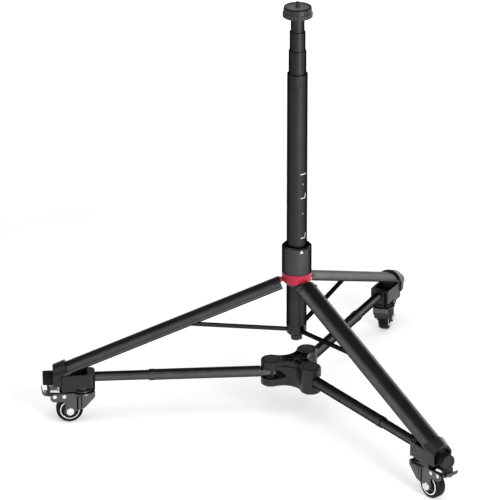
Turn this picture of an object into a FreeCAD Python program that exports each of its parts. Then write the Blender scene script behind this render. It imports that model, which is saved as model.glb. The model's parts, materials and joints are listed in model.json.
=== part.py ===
import FreeCAD, Part
import math
import os
import Sketcher

# Rolling tripod stand: a telescopic column on three channel legs, clamped into a three-arm
# folding dolly on braked casters. Millimetres, +Z up, floor at Z = 0.

Vector = FreeCAD.Vector
Rotation = FreeCAD.Rotation
Placement = FreeCAD.Placement

doc = FreeCAD.newDocument("RollingStand")
sheet = doc.addObject("Spreadsheet::Sheet", "Dimensions")

# Driving dimensions (alias, value, note)
VALUES = [
    ("origin_shift", -98.4, "column axis from the middle of the footprint, along Y"),
    ("station_count", 3, "arms and legs round the column"),
    ("first_station_angle", 90, "angle of the first arm"),
    ("full_turn", 360, "degrees"),
    ("half_turn", 180, "degrees"),
    ("slide_clearance", 0.1, "radial, telescopic tubes"),
    ("pin_clearance", 0.06, "radial, pins in their holes"),
    ("face_gap", 0.3, "between faces that move past each other"),
    ("edge_break", 0.6, "small edge rounding"),
    # head
    ("head_diameter", 48, "widest, at the bottom"),
    ("head_top_diameter", 44, "rim"),
    ("head_waist_diameter", 46, "under the rim"),
    ("head_top_height", 709.5, "rim above floor"),
    ("head_bottom_height", 693, "underside above floor"),
    ("head_band_height", 7, "straight lower band"),
    ("head_rim_width", 3.2, "raised rim"),
    ("head_dish_depth", 1.6, "pad below the rim"),
    ("head_socket_depth", 9, "sleeve over the top tube"),
    ("head_flute_count", 30, "grip flutes"),
    ("head_flute_depth", 0.6, "flute"),
    ("stud_diameter", 6.35, "quarter inch screw"),
    ("stud_length", 9.5, "above the dished pad"),
    ("stud_root_depth", 5, "into the head"),
    ("stud_root_diameter", 8, "wider root pressed into the head"),
    ("stud_chamfer", 0.8, "lead in"),
    # telescopic tubes, thin to thick
    ("tube_a_diameter", 22, ""),
    ("tube_b_diameter", 25.4, ""),
    ("tube_c_diameter", 28.4, ""),
    ("tube_d_diameter", 33, ""),
    ("tube_a_wall", 1.4, ""),
    ("tube_a_bottom", 196, "inside the stack"),
    ("tube_b_bottom", 190, ""),
    ("tube_c_bottom", 184, ""),
    ("tube_b_top", 668, "visible step"),
    ("tube_c_top", 636.5, "visible step"),
    ("tube_d_top", 597.5, "visible step"),
    ("tube_lip", 0.6, "edge bevel at a tube mouth"),
    ("button_angle", 30, "side that holds the snap buttons"),
    ("button_height", 614, "snap button of tube c"),
    ("button_diameter", 5, ""),
    ("button_rise", 1.6, "proud of the tube"),
    ("button_seat", 0.4, "length in the tube wall"),
    ("lock_hole_height", 652, "lock hole of tube b"),
    ("lock_hole_diameter", 4.2, ""),
    ("relief_angle", -56, "side of the pressed relief"),
    ("relief_width", 6.4, "pressed relief near the mouth"),
    ("relief_length", 18, ""),
    ("relief_depth", 1, ""),
    ("relief_drop", 3, "below the mouth"),
    # lock collar and leg hub
    ("collar_diameter", 48.4, ""),
    ("collar_top", 302.2, "above floor"),
    ("collar_bottom", 254.4, ""),
    ("collar_mouth_diameter", 37, "open ring round the tube"),
    ("collar_mouth_depth", 9, ""),
    ("collar_bore_diameter", 42.6, "over the hub neck"),
    ("collar_rim_bevel", 2.6, "sloped rim"),
    ("neck_top", 291, "neck inside the collar"),
    ("hub_ring_bottom", 232, "lowest edge of the coloured ring"),
    ("hub_ring_side", 240, "where the taper starts"),
    ("hub_ring_foot_diameter", 39, "at the lowest edge"),
    ("arch_radius", 22.4, "cut over each leg"),
    ("arch_height", 243, "crown of the cut"),
    ("lug_width", 10, ""),
    ("lug_top", 243.4, ""),
    ("lug_bottom", 239, ""),
    ("lug_eye_radius", 4.1, ""),
    ("leg_pin_radius_out", 33, "leg pin from the column axis"),
    ("leg_pin_height", 235.5, "leg pin above floor"),
    ("leg_pin_diameter", 4, ""),
    ("leg_pin_length", 31.4, "to the outside of the channel"),
    # legs
    ("leg_slope", 21.97, "below level, degrees"),
    ("leg_arc_radius", 21, "crown of the channel"),
    ("leg_half_width", 18.19, ""),
    ("leg_crown_rise", 7.2, "crown above the pin line"),
    ("leg_side_depth", 4.15, "straight sides"),
    ("leg_wall", 1.8, ""),
    ("leg_lip", 2.2, "lips turned in"),
    ("leg_lip_thickness", 1.3, ""),
    ("leg_head_overrun", 7, "beyond the pin"),
    ("leg_length", 378.7, "pin to the foot end"),
    ("foot_plug_length", 26, "inside the channel end"),
    ("foot_block_inner", 371.5, "radius, inner face"),
    ("foot_block_outer", 382.6, "radius, outer face"),
    ("foot_block_bottom", 75.5, "above floor"),
    ("foot_block_width", 17, ""),
    ("foot_block_shoulder", 86.6, "outer edge of the block, above floor"),
    ("foot_block_root", 3.2, "below the pin line, inside the plug"),
    # brace rods
    ("rod_pin_radius", 190, "rod pin from the column axis"),
    ("rod_pin_height", 167.8, "above floor"),
    ("rod_foot_radius", 12.6, "eye in the slider slot"),
    ("rod_foot_height", 151.5, ""),
    ("rod_width", 5.2, ""),
    ("rod_height", 5.6, ""),
    ("rod_wall", 1.2, ""),
    ("rod_pin_diameter", 3, ""),
    ("rod_pin_span", 34.6, "cross pin through the channel sides"),
    # slider at the column's foot
    ("slider_top", 161.8, ""),
    ("slider_bottom", 144.5, ""),
    ("slider_bevel", 2.4, ""),
    ("slider_spigot_length", 12, "inside the thick tube"),
    ("slot_width", 6.6, ""),
    ("slot_root_radius", 8.2, ""),
    ("plug_diameter", 19.4, ""),
    ("plug_bottom", 134.3, ""),
    # dolly hub
    ("pivot_radius", 41.5, "arm pivots from the axis"),
    ("lobe_radius", 17, ""),
    ("waist_radius", 20, "nearest the axis between lobes"),
    ("hub_top", 99, ""),
    ("hub_bottom", 55, ""),
    ("window_top", 84, ""),
    ("window_bottom", 68, ""),
    ("pan_depth", 5, "recess in the top"),
    ("pan_wall", 2.6, ""),
    ("pan_corner", 11, "half opening beside a lobe"),
    ("lobe_rim", 1.5, "round the lobe caps"),
    ("cap_recess", 0.8, "ring step on each lobe"),
    ("cap_radius", 13.4, ""),
    ("rib_width", 1.8, ""),
    ("rib_height", 3.4, ""),
    ("rib_lobe_reach", 23.4, "towards a lobe"),
    ("rib_waist_reach", 17.8, "towards a concave side"),
    ("skirt_wall", 3, "underside ribs and walls"),
    ("underside_depth", 6, "recess in the underside"),
    ("pivot_diameter", 6, ""),
    ("pivot_head_diameter", 11, ""),
    ("pivot_head_height", 2.6, ""),
    ("pivot_top", 96.4, "pin end inside the upper part"),
    ("lobe_bevel", 1.4, "bevel of the upper edge"),
    # arms
    ("arm_height", 77, "arm axis above floor"),
    ("arm_inner_diameter", 16, ""),
    ("arm_outer_diameter", 18.2, ""),
    ("arm_wall", 1, ""),
    ("arm_outer_start", 59.2, "radius"),
    ("arm_outer_end", 242.5, "radius"),
    ("arm_inner_start", 112, "radius"),
    ("arm_inner_seat", 341, "radius, in the box socket"),
    ("arm_inner_wall", 1.4, ""),
    ("groove_width", 3.2, "rolled groove along the top"),
    ("groove_depth", 0.9, ""),
    ("groove_gap", 0.25, "rib in groove"),
    ("tongue_start", 31, "radius"),
    ("tongue_width", 14, ""),
    ("tongue_height", 9.4, ""),
    ("tongue_end", 61, "radius"),
    ("tongue_plug", 12, "closed length of the tube"),
    ("ferrule_length", 9, "stop ring at the tube mouth"),
    ("ferrule_rise", 0.5, ""),
    # end boxes
    ("box_inner", 331, "radius"),
    ("box_outer", 387, "radius"),
    ("box_half_width", 16.5, ""),
    ("box_bottom", 57.5, ""),
    ("box_step_height", 63, "raised underside over the caster"),
    ("box_step_radius", 363, ""),
    ("race_recess_radius", 16, "round the caster plate"),
    ("box_top_inner", 86.6, "inner rim"),
    ("box_top_outer", 85.2, "outer rim"),
    ("box_corner", 8.5, "inner corners"),
    ("box_outer_corner", 1.6, ""),
    ("box_wall", 2.3, ""),
    ("box_head_wall", 12.5, "thick wall round the arm"),
    ("box_floor", 68, "tray floor"),
    ("tray_corner", 4, ""),
    # foot hoods
    ("hood_mouth", 371, "along the leg, inner rim"),
    ("hood_far", 412, "along the leg, beyond the outer face"),
    ("hood_mouth_half", 21, ""),
    ("hood_far_half", 15.8, ""),
    ("hood_crown_rise", 11.3, "roof above the pin line"),
    ("hood_spring", -1, "where the roof arc starts"),
    ("hood_skirt", -32, "sides run down to here before trimming"),
    ("hood_outer", 400, "radius of the outer face"),
    ("hood_bottom", 67.6, ""),
    ("hood_neck_height", 86.5, "above the box rim"),
    ("hood_slant_radius", 383, ""),
    ("hood_slant_height", 88.6, ""),
    ("hood_ear_radius", 376, ""),
    ("hood_ear_height", 94.5, ""),
    ("hood_leg_gap", 0.8, "round the leg's crown"),
    ("hood_side_gap", 0.5, "beside the leg"),
    ("hood_cavity_end", 380.4, "along the leg"),
    ("hood_web", 3.2, "plate on the box"),
    ("hood_rim_wall", 2.7, ""),
    ("hood_recess_half", 14.9, ""),
    ("hood_recess_spring", 86, ""),
    ("hood_recess_crown", 95.4, ""),
    ("boss_diameter", 11.5, ""),
    ("screw_diameter", 5, ""),
    ("trim_margin", 60, "working size of trimming cuts"),
    # knobs
    ("knob_length", 16.8, ""),
    ("knob_diameter", 24.2, ""),
    ("knob_flute_count", 30, ""),
    ("knob_flute_depth", 0.6, ""),
    ("knob_dish_diameter", 16, ""),
    ("knob_dish_depth", 1.2, ""),
    ("knob_bevel", 1.2, ""),
    # casters
    ("caster_radius", 352, "swivel axis from the column axis"),
    ("caster_trail", 21.7, "axle behind the swivel axis"),
    ("swivel_back_angle", 12, "caster turned from straight out"),
    ("swivel_left_angle", 3, ""),
    ("swivel_right_angle", 5, ""),
    ("raceway_diameter", 26, ""),
    ("raceway_bottom", 57.4, ""),
    ("raceway_flange_diameter", 31, ""),
    ("raceway_flange", 1.6, ""),
    ("stem_diameter", 6.2, ""),
    ("stem_top", 74.8, ""),
    ("nut_across", 10, "hexagon across flats"),
    ("nut_height", 4.6, ""),
    ("washer_diameter", 13, ""),
    ("washer_thickness", 1.2, ""),
    ("fork_cap_diameter", 41, ""),
    ("fork_cap_top", 53.6, ""),
    ("fork_ring_diameter", 25, ""),
    ("fork_ring_top", 57.1, ""),
    ("fork_half_width", 13.4, ""),
    ("fork_plate", 2, ""),
    ("fork_crown_bottom", 50.4, ""),
    ("fork_front_low", 27, "foot of the front edge"),
    ("fork_front_reach", 3, "front edge ahead of the swivel axis"),
    ("fork_skirt_low", 28.4, "end of the closed front"),
    ("fork_skirt_inset", 1.5, "inside of the closed front, ahead of the swivel axis"),
    ("fork_skirt_bottom", 45.5, "where the front edge starts"),
    ("axle_height", 22.1, ""),
    ("axle_diameter", 6, ""),
    ("axle_end", 17.4, "half length over the nuts"),
    ("ear_radius", 8.6, "round the axle"),
    ("tail_start", 7, "behind the axle"),
    ("tail_reach", 53.5, "brake end of the fork from the swivel axis"),
    ("tail_bottom", 39.5, ""),
    ("tail_corner", 4.5, ""),
    ("wheel_diameter", 44.2, ""),
    ("wheel_width", 18, ""),
    ("tyre_inner_diameter", 34.6, ""),
    ("tyre_round", 4.2, ""),
    ("hub_disc_width", 15, ""),
    ("hub_ring_diameter", 32.4, "bright ring"),
    ("hub_ring_width", 2.2, ""),
    ("hub_ring_rise", 0.9, ""),
    ("hub_boss_diameter", 13, ""),
    ("hub_boss_width", 20.6, ""),
    ("hub_dish_depth", 3.4, ""),
    # brake pedals
    ("brake_pin_reach", 31, "pedal pin behind the swivel axis"),
    ("brake_pin_height", 48.4, ""),
    ("brake_pin_diameter", 4, ""),
    ("pedal_eye_radius", 4, ""),
    ("pedal_half_width", 10.6, "between the fork plates"),
    ("pedal_wide_half", 13.6, "tread"),
    ("pedal_plate", 1.6, ""),
    ("pedal_top", 60.6, ""),
    ("pedal_knee_reach", 38.5, ""),
    ("pedal_knee_height", 55.2, ""),
    ("pedal_shelf_start", 42.5, ""),
    ("pedal_shelf_end", 54.5, ""),
    ("pedal_wide_start", 57.7, ""),
    ("pedal_tread_top", 47.2, ""),
    ("pedal_bottom", 44.8, ""),
    ("pedal_lip_reach", 68, ""),
    ("pedal_lip_foot", 49, "inner foot of the lip"),
    ("pedal_lip_top", 61.5, ""),
    ("shoe_start", 35, "brake shoe over the tyre"),
    ("shoe_end", 39, ""),
    ("shoe_bottom", 41.3, ""),
]

for row, (alias, value, note) in enumerate(VALUES, start=1):
    sheet.set("A%d" % row, alias)
    sheet.set("B%d" % row, str(value))
    sheet.setAlias("B%d" % row, alias)
    sheet.set("C%d" % row, note)
doc.recompute()


class Size:
    """A value from the sheet, or a formula of such values, that can be bound."""

    def __init__(self, value, text):
        self.value = float(value)
        self.text = text

    @staticmethod
    def of(other):
        if isinstance(other, Size):
            return other
        return Size(other, "%.10g" % other)

    def join(self, other, sign, value):
        return Size(value, "(%s %s %s)" % (self.text, sign, Size.of(other).text))

    def __add__(self, other):
        return self.join(other, "+", self.value + Size.of(other).value)

    def __sub__(self, other):
        return self.join(other, "-", self.value - Size.of(other).value)

    def __mul__(self, other):
        return self.join(other, "*", self.value * Size.of(other).value)

    def __truediv__(self, other):
        return self.join(other, "/", self.value / Size.of(other).value)

    def __rsub__(self, other):
        return Size.of(other) - self

    def __rmul__(self, other):
        return self * other

    def __neg__(self):
        return Size(-self.value, "(0 - %s)" % self.text)


def root(size):
    return Size(math.sqrt(size.value), "sqrt(%s)" % size.text)


def sine(size):
    return Size(math.sin(math.radians(size.value)), "sin(%s)" % size.text)


def cosine(size):
    return Size(math.cos(math.radians(size.value)), "cos(%s)" % size.text)


class Sheet:
    """The named dimensions as Size values: D.knob_length and so on."""

    def __getattr__(self, alias):
        return Size(sheet.get(alias), "Dimensions." + alias)


D = Sheet()
ZERO = Size(0, "0")


# Document helpers

def new_body(label):
    body = doc.addObject("PartDesign::Body", label)
    body.Label = label
    return body


def origin_feature(body, role):
    for feature in body.Origin.OriginFeatures:
        if feature.Role == role:
            return feature
    raise ValueError(role)


def new_sketch(body, role="XY_Plane", offset=None):
    """A sketch on one of the body's own planes, moved along the plane's normal."""
    sketch = body.newObject("Sketcher::SketchObject", body.Name + "_sketch")
    sketch.AttachmentSupport = (origin_feature(body, role), [""])
    sketch.MapMode = "FlatFace"
    if offset is not None:
        sketch.setExpression("AttachmentOffset.Base.z", offset.text)
    return sketch


def bind_point(sketch, geometry, position, point):
    for kind, axis, size in (("DistanceX", -2, point[0]), ("DistanceY", -1, point[1])):
        size = Size.of(size)
        if abs(size.value) < 1e-9:
            sketch.addConstraint(Sketcher.Constraint("PointOnObject", geometry, position, axis))
        else:
            made = Sketcher.Constraint(kind, -1, 1, geometry, position, size.value)
            index = sketch.addConstraint(made)
            sketch.setExpression("Constraints[%d]" % index, size.text)


def arc_middle(start, end, radius):
    """Middle of the minor arc; a positive radius bulges to the right of the way."""
    chord = end - start
    half = chord.Length / 2
    size = abs(radius)
    rise = size - math.sqrt(max(size * size - half * half, 0))
    side = Vector(chord.y, -chord.x, 0).normalize() * rise
    if radius < 0:
        side = side * -1
    return (start + end) * 0.5 + side


def draw(sketch, points):
    """One closed outline. A point is (x, y), or (x, y, radius) to bend the edge up to it."""
    count = len(points)
    places = [Vector(Size.of(p[0]).value, Size.of(p[1]).value, 0) for p in points]
    ends = []
    for index in range(count):
        start = places[index]
        end = places[(index + 1) % count]
        target = points[(index + 1) % count]
        if len(target) == 3:
            radius = Size.of(target[2])
            middle = arc_middle(start, end, radius.value)
            if radius.value > 0:
                made = sketch.addGeometry(Part.Arc(start, middle, end), False)
                ends.append((made, 1, 2))
            else:
                made = sketch.addGeometry(Part.Arc(end, middle, start), False)
                ends.append((made, 2, 1))
            bound = Size(abs(radius.value), "abs(%s)" % radius.text)
            at = sketch.addConstraint(Sketcher.Constraint("Radius", made, bound.value))
            sketch.setExpression("Constraints[%d]" % at, bound.text)
        else:
            made = sketch.addGeometry(Part.LineSegment(start, end), False)
            ends.append((made, 1, 2))
    for index in range(count):
        made, first, last = ends[index]
        after, after_first, after_last = ends[(index + 1) % count]
        sketch.addConstraint(Sketcher.Constraint("Coincident", made, last, after, after_first))
        bind_point(sketch, made, first, points[index])


def circle(sketch, x, y, radius):
    x, y = Size.of(x), Size.of(y)
    centre = Vector(x.value, y.value, 0)
    made = sketch.addGeometry(Part.Circle(centre, Vector(0, 0, 1), radius.value), False)
    bind_point(sketch, made, 3, (x, y))
    at = sketch.addConstraint(Sketcher.Constraint("Radius", made, radius.value))
    sketch.setExpression("Constraints[%d]" % at, radius.text)


def rectangle(sketch, x0, y0, x1, y1):
    draw(sketch, [(x0, y0), (x1, y0), (x1, y1), (x0, y1)])


def feature(body, kind, sketch=None):
    made = body.newObject("PartDesign::" + kind, body.Name + "_" + kind.lower())
    if sketch is not None:
        made.Profile = sketch
        sketch.Visibility = False
    return made


def settle(body, made, before, grows):
    """Recompute and make sure that the step added or removed material."""
    doc.recompute()
    after = body.Shape.Volume
    if grows and after <= before or not grows and after >= before:
        raise RuntimeError("%s changed nothing: %s" % (made.Name, body.Label))
    return made


def volume(body):
    if body.Tip is None or body.Shape.isNull():
        return 0
    return body.Shape.Volume


def pad(body, sketch, length, middle=False, reverse=False):
    before = volume(body)
    made = feature(body, "Pad", sketch)
    made.setExpression("Length", length.text)
    made.Midplane = middle
    made.Reversed = reverse
    return settle(body, made, before, True)


def pocket(body, sketch, length=None, middle=False, reverse=False):
    before = volume(body)
    made = feature(body, "Pocket", sketch)
    if length is None:
        made.Type = "ThroughAll"
    else:
        made.setExpression("Length", length.text)
    made.Midplane = middle
    made.Reversed = reverse
    return settle(body, made, before, False)


def revolve(body, sketch, axis="V_Axis"):
    before = volume(body)
    made = feature(body, "Revolution", sketch)
    made.ReferenceAxis = (sketch, [axis])
    made.setExpression("Angle", D.full_turn.text)
    return settle(body, made, before, True)


def polar(body, steps, count, grows, axis="Z_Axis"):
    before = volume(body)
    made = feature(body, "PolarPattern")
    made.Originals = steps
    made.Axis = (origin_feature(body, axis), [""])
    made.setExpression("Angle", D.full_turn.text)
    made.setExpression("Occurrences", count.text)
    body.Tip = made
    return settle(body, made, before, grows)


def edges_where(shape, test):
    names = []
    for index, edge in enumerate(shape.Edges, start=1):
        if test(edge):
            names.append("Edge%d" % index)
    return names


def soften(body, kind, size, test):
    """Fillet or chamfer on the edges that pass the test."""
    base = body.Tip
    names = edges_where(base.Shape, test)
    if not names:
        raise RuntimeError("no edge found on " + body.Label)
    made = feature(body, kind)
    made.Base = (base, names)
    made.setExpression("Radius" if kind == "Fillet" else "Size", size.text)
    doc.recompute()
    return made


def at_height(height):
    def test(edge):
        box = edge.BoundBox
        return abs(box.ZMin - height.value) < 1e-4 and abs(box.ZMax - height.value) < 1e-4
    return test


# Placements: round the column, out to a radius, up to a height, turned

def column_place():
    return Placement(Vector(0, D.origin_shift.value, 0), Rotation())


def column_turned(angle):
    turned = Placement(Vector(), Rotation(Vector(0, 0, 1), angle.value))
    return column_place().multiply(turned)


def station_angle(index):
    step = D.full_turn.value / D.station_count.value
    return D.first_station_angle.value + step * index


def station_place(index, radius=ZERO, height=ZERO, tilt=0.0, turn=0.0):
    base = column_place()
    round_column = Placement(Vector(), Rotation(Vector(0, 0, 1), station_angle(index)))
    outward = Placement(Vector(radius.value, 0, height.value), Rotation(Vector(0, 1, 0), tilt))
    swivel = Placement(Vector(), Rotation(Vector(0, 0, 1), turn))
    return base.multiply(round_column).multiply(outward).multiply(swivel)


STATIONS = ("back", "left", "right")
SWIVELS = (D.swivel_back_angle, D.swivel_left_angle, D.swivel_right_angle)
parts = []


def keep(body, placement):
    body.Placement = placement
    parts.append(body)


# Leg frame: along the leg from its pin, and square to it, for a point at (radius, height)

def leg_point(radius, height):
    out = radius - D.leg_pin_radius_out
    up = height - D.leg_pin_height
    along = out * cosine(D.leg_slope) - up * sine(D.leg_slope)
    rise = out * sine(D.leg_slope) + up * cosine(D.leg_slope)
    return along, rise


# Column

def make_tube(label, outer, inner, bottom, top):
    """A tube on the column axis with a bevelled mouth."""
    body = new_body(label)
    sketch = new_sketch(body, "XZ_Plane")
    lip = D.tube_lip
    draw(sketch, [(inner, bottom), (outer, bottom), (outer, top - lip), (outer - lip, top),
                  (inner, top)])
    revolve(body, sketch)
    return body


def side_hole(body, radius, height, outer, depth):
    """Round hole through one side of a tube's wall."""
    sketch = new_sketch(body, "YZ_Plane", outer)
    circle(sketch, ZERO, height, radius)
    pocket(body, sketch, depth)


def column_tubes():
    a_out = D.tube_a_diameter / 2
    b_out = D.tube_b_diameter / 2
    c_out = D.tube_c_diameter / 2
    facing = column_turned(D.button_angle)
    tube_a = make_tube("tube_a", a_out, a_out - D.tube_a_wall, D.tube_a_bottom,
                       D.head_bottom_height + D.head_socket_depth)
    keep(tube_a, facing)
    tube_b = make_tube("tube_b", b_out, a_out + D.slide_clearance, D.tube_b_bottom, D.tube_b_top)
    side_hole(tube_b, D.lock_hole_diameter / 2, D.lock_hole_height, b_out, b_out - a_out)
    keep(tube_b, facing)
    tube_c = make_tube("tube_c", c_out, b_out + D.slide_clearance, D.tube_c_bottom, D.tube_c_top)
    side_hole(tube_c, D.button_diameter / 2 + D.pin_clearance, D.button_height, c_out,
              c_out - b_out)
    keep(tube_c, facing)


def outer_tube():
    """Thickest tube, with a round-ended relief pressed in below its mouth."""
    outer = D.tube_d_diameter / 2
    inner = D.tube_c_diameter / 2 + D.slide_clearance
    body = make_tube("tube_d", outer, inner, D.slider_top, D.tube_d_top)
    half = D.relief_width / 2
    high = D.tube_d_top - D.relief_drop
    low = high - D.relief_length + half
    sketch = new_sketch(body, "YZ_Plane", outer - D.relief_depth)
    draw(sketch, [(half, low, half), (half, high), (-half, high), (-half, low),
                  (ZERO, low - half, half)])
    pocket(body, sketch, D.relief_depth * 2, reverse=True)
    keep(body, column_turned(D.relief_angle))


def snap_button():
    """Domed button in the side of tube c; local X points outward."""
    body = new_body("tube_button")
    radius = D.button_diameter / 2
    rise, seat = D.button_rise, D.button_seat
    dome = (radius * radius + rise * rise) / (rise * 2)
    sketch = new_sketch(body, "XY_Plane")
    draw(sketch, [(ZERO, ZERO), (seat + rise, ZERO), (seat, radius, dome), (ZERO, radius)])
    revolve(body, sketch, "H_Axis")
    out = D.tube_c_diameter / 2 - seat
    moved = Placement(Vector(out.value, 0, D.button_height.value), Rotation())
    keep(body, column_turned(D.button_angle).multiply(moved))


def notch(sketch, radius, depth):
    """Grip notch across the rim of a round piece, at local +X."""
    draw(sketch, [(radius - depth, -depth), (radius + depth, -depth * 2),
                  (radius + depth, depth * 2), (radius - depth, depth)])


def head_disc():
    """Fluted platform with a dished top and a sleeve over the thinnest tube."""
    body = new_body("head_disc")
    wide = D.head_diameter / 2
    rim = D.head_top_diameter / 2
    waist = D.head_waist_diameter / 2
    low, high, edge = D.head_bottom_height, D.head_top_height, D.edge_break
    band = low + D.head_band_height
    dish = high - D.head_dish_depth
    sleeve = D.tube_a_diameter / 2
    socket = low + D.head_socket_depth
    pad_edge = rim - D.head_rim_width
    sketch = new_sketch(body, "XZ_Plane")
    draw(sketch, [(sleeve, low), (wide - edge, low), (wide, low + edge), (wide, band),
                  (waist, band + edge), (rim, high - edge), (rim - edge, high), (pad_edge, high),
                  (pad_edge - edge, dish), (ZERO, dish), (ZERO, socket), (sleeve, socket)])
    revolve(body, sketch)
    flute = new_sketch(body, "XY_Plane", low)
    notch(flute, wide, D.head_flute_depth)
    step = pocket(body, flute, D.head_band_height, reverse=True)
    polar(body, [step], D.head_flute_count, False)
    hole = new_sketch(body, "XY_Plane", dish)
    circle(hole, ZERO, ZERO, D.stud_root_diameter / 2)
    pocket(body, hole, D.stud_root_depth)
    keep(body, column_place())


def head_stud():
    body = new_body("head_stud")
    radius, wide = D.stud_diameter / 2, D.stud_root_diameter / 2
    dish = D.head_top_height - D.head_dish_depth
    top = dish + D.stud_length
    bottom = dish - D.stud_root_depth
    sketch = new_sketch(body, "XZ_Plane")
    draw(sketch, [(ZERO, bottom), (wide, bottom), (wide, dish), (radius, dish),
                  (radius, top - D.stud_chamfer), (radius - D.stud_chamfer, top), (ZERO, top)])
    revolve(body, sketch)
    keep(body, column_place())


def lock_collar():
    """Twist collar with an open bevelled mouth round the tube."""
    body = new_body("lock_collar")
    outer = D.collar_diameter / 2
    mouth = D.collar_mouth_diameter / 2
    bore = D.collar_bore_diameter / 2
    edge = D.edge_break
    low = D.collar_bottom + D.face_gap
    top = D.collar_top
    shoulder = top - D.collar_mouth_depth
    bevel = D.collar_rim_bevel
    sketch = new_sketch(body, "XZ_Plane")
    draw(sketch, [(bore, low), (outer - edge, low), (outer, low + edge), (outer, top - bevel),
                  (outer - bevel, top), (mouth + edge, top), (mouth, top - edge),
                  (mouth, shoulder), (bore, shoulder - edge)])
    revolve(body, sketch)
    keep(body, column_place())


def leg_hub():
    """Coloured ring with a neck inside the collar, arched over the legs, and three lugs."""
    body = new_body("leg_hub")
    bore = D.tube_d_diameter / 2 + D.slide_clearance
    outer = D.collar_diameter / 2
    neck = D.collar_bore_diameter / 2 - D.face_gap
    foot = D.hub_ring_foot_diameter / 2
    low, edge = D.hub_ring_bottom, D.edge_break
    sketch = new_sketch(body, "XZ_Plane")
    draw(sketch, [(bore, low + edge), (bore + edge, low), (foot, low), (outer, D.hub_ring_side),
                  (outer, D.collar_bottom), (neck, D.collar_bottom), (neck, D.neck_top - edge),
                  (neck - edge, D.neck_top), (bore, D.neck_top)])
    revolve(body, sketch)
    arch = new_sketch(body, "YZ_Plane", bore / 2)
    circle(arch, ZERO, D.arch_height - D.arch_radius, D.arch_radius)
    cut = pocket(body, arch, outer, reverse=True)
    polar(body, [cut], D.station_count, False)
    lean, eye = D.leg_slope, D.lug_eye_radius
    pin_x, pin_z = D.leg_pin_radius_out, D.leg_pin_height
    inner = bore + edge
    lug = new_sketch(body, "XZ_Plane")
    draw(lug, [(inner, D.lug_bottom), (outer, D.lug_bottom),
               (pin_x - eye * sine(lean), pin_z - eye * cosine(lean)),
               (pin_x + eye * cosine(lean), pin_z - eye * sine(lean), eye),
               (pin_x + eye * sine(lean), pin_z + eye * cosine(lean), eye),
               (outer, D.lug_top), (inner, D.lug_top)])
    out = pad(body, lug, D.lug_width, middle=True)
    hole = new_sketch(body, "XZ_Plane")
    circle(hole, pin_x, pin_z, D.leg_pin_diameter / 2)
    bore_cut = pocket(body, hole, D.lug_width * 2, middle=True)
    polar(body, [out, bore_cut], D.station_count, True)
    keep(body, station_place(0))


def column_slider():
    """Foot of the column: slotted block, spigot inside the thick tube, and end plug."""
    body = new_body("column_slider")
    outer = D.tube_d_diameter / 2
    spigot = D.tube_c_diameter / 2 + D.slide_clearance
    plug = D.plug_diameter / 2
    edge, bevel = D.edge_break, D.slider_bevel
    high = D.slider_top + D.slider_spigot_length
    sketch = new_sketch(body, "XZ_Plane")
    draw(sketch, [(ZERO, D.plug_bottom), (plug - edge, D.plug_bottom),
                  (plug, D.plug_bottom + edge), (plug, D.slider_bottom),
                  (outer - bevel, D.slider_bottom), (outer, D.slider_bottom + bevel),
                  (outer, D.slider_top), (spigot, D.slider_top), (spigot, high - edge),
                  (spigot - edge, high), (ZERO, high)])
    revolve(body, sketch)
    slot = new_sketch(body, "XY_Plane", D.plug_bottom)
    half = D.slot_width / 2
    rectangle(slot, D.slot_root_radius, -half, outer * 2, half)
    cut = pocket(body, slot, D.slider_top - D.plug_bottom, reverse=True)
    polar(body, [cut], D.station_count, False)
    keep(body, station_place(0))


# Legs

def leg_outline(sketch, half, radius, crown, deep):
    """Outline in the leg's cross plane: arc crown and straight sides, open or closed below."""
    spring = crown - radius + root(radius * radius - half * half)
    draw(sketch, [(half, deep), (half, spring), (ZERO, crown, radius), (-half, spring, radius),
                  (-half, deep)])


def leg_bottom():
    """Lower edge of the channel's sides, from the pin line."""
    radius, half = D.leg_arc_radius, D.leg_half_width
    return D.leg_crown_rise - radius + root(radius * radius - half * half) - D.leg_side_depth


def leg_hollow(sketch):
    wall = D.leg_wall
    leg_outline(sketch, D.leg_half_width - wall, D.leg_arc_radius - wall,
                D.leg_crown_rise - wall, leg_bottom() + D.leg_lip_thickness)


def leg(name):
    """Channel section, square cut, open underneath between two lips."""
    body = new_body("leg_" + name)
    start = -D.leg_head_overrun
    length = D.leg_length + D.leg_head_overrun
    outer = new_sketch(body, "YZ_Plane", start)
    leg_outline(outer, D.leg_half_width, D.leg_arc_radius, D.leg_crown_rise, leg_bottom())
    pad(body, outer, length)
    inner = new_sketch(body, "YZ_Plane", start)
    leg_hollow(inner)
    pocket(body, inner, length, reverse=True)
    mouth = new_sketch(body, "YZ_Plane", start)
    half = D.leg_half_width - D.leg_wall - D.leg_lip
    rectangle(mouth, -half, leg_bottom() - D.leg_lip, half, leg_bottom() + D.leg_lip)
    pocket(body, mouth, length, reverse=True)
    along, rise = leg_point(D.rod_pin_radius, D.rod_pin_height)
    holes = new_sketch(body, "XZ_Plane")
    circle(holes, ZERO, ZERO, D.leg_pin_diameter / 2 + D.pin_clearance)
    circle(holes, along, rise, D.rod_pin_diameter / 2 + D.pin_clearance)
    pocket(body, holes, D.leg_half_width * 4, middle=True)
    return body


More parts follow.
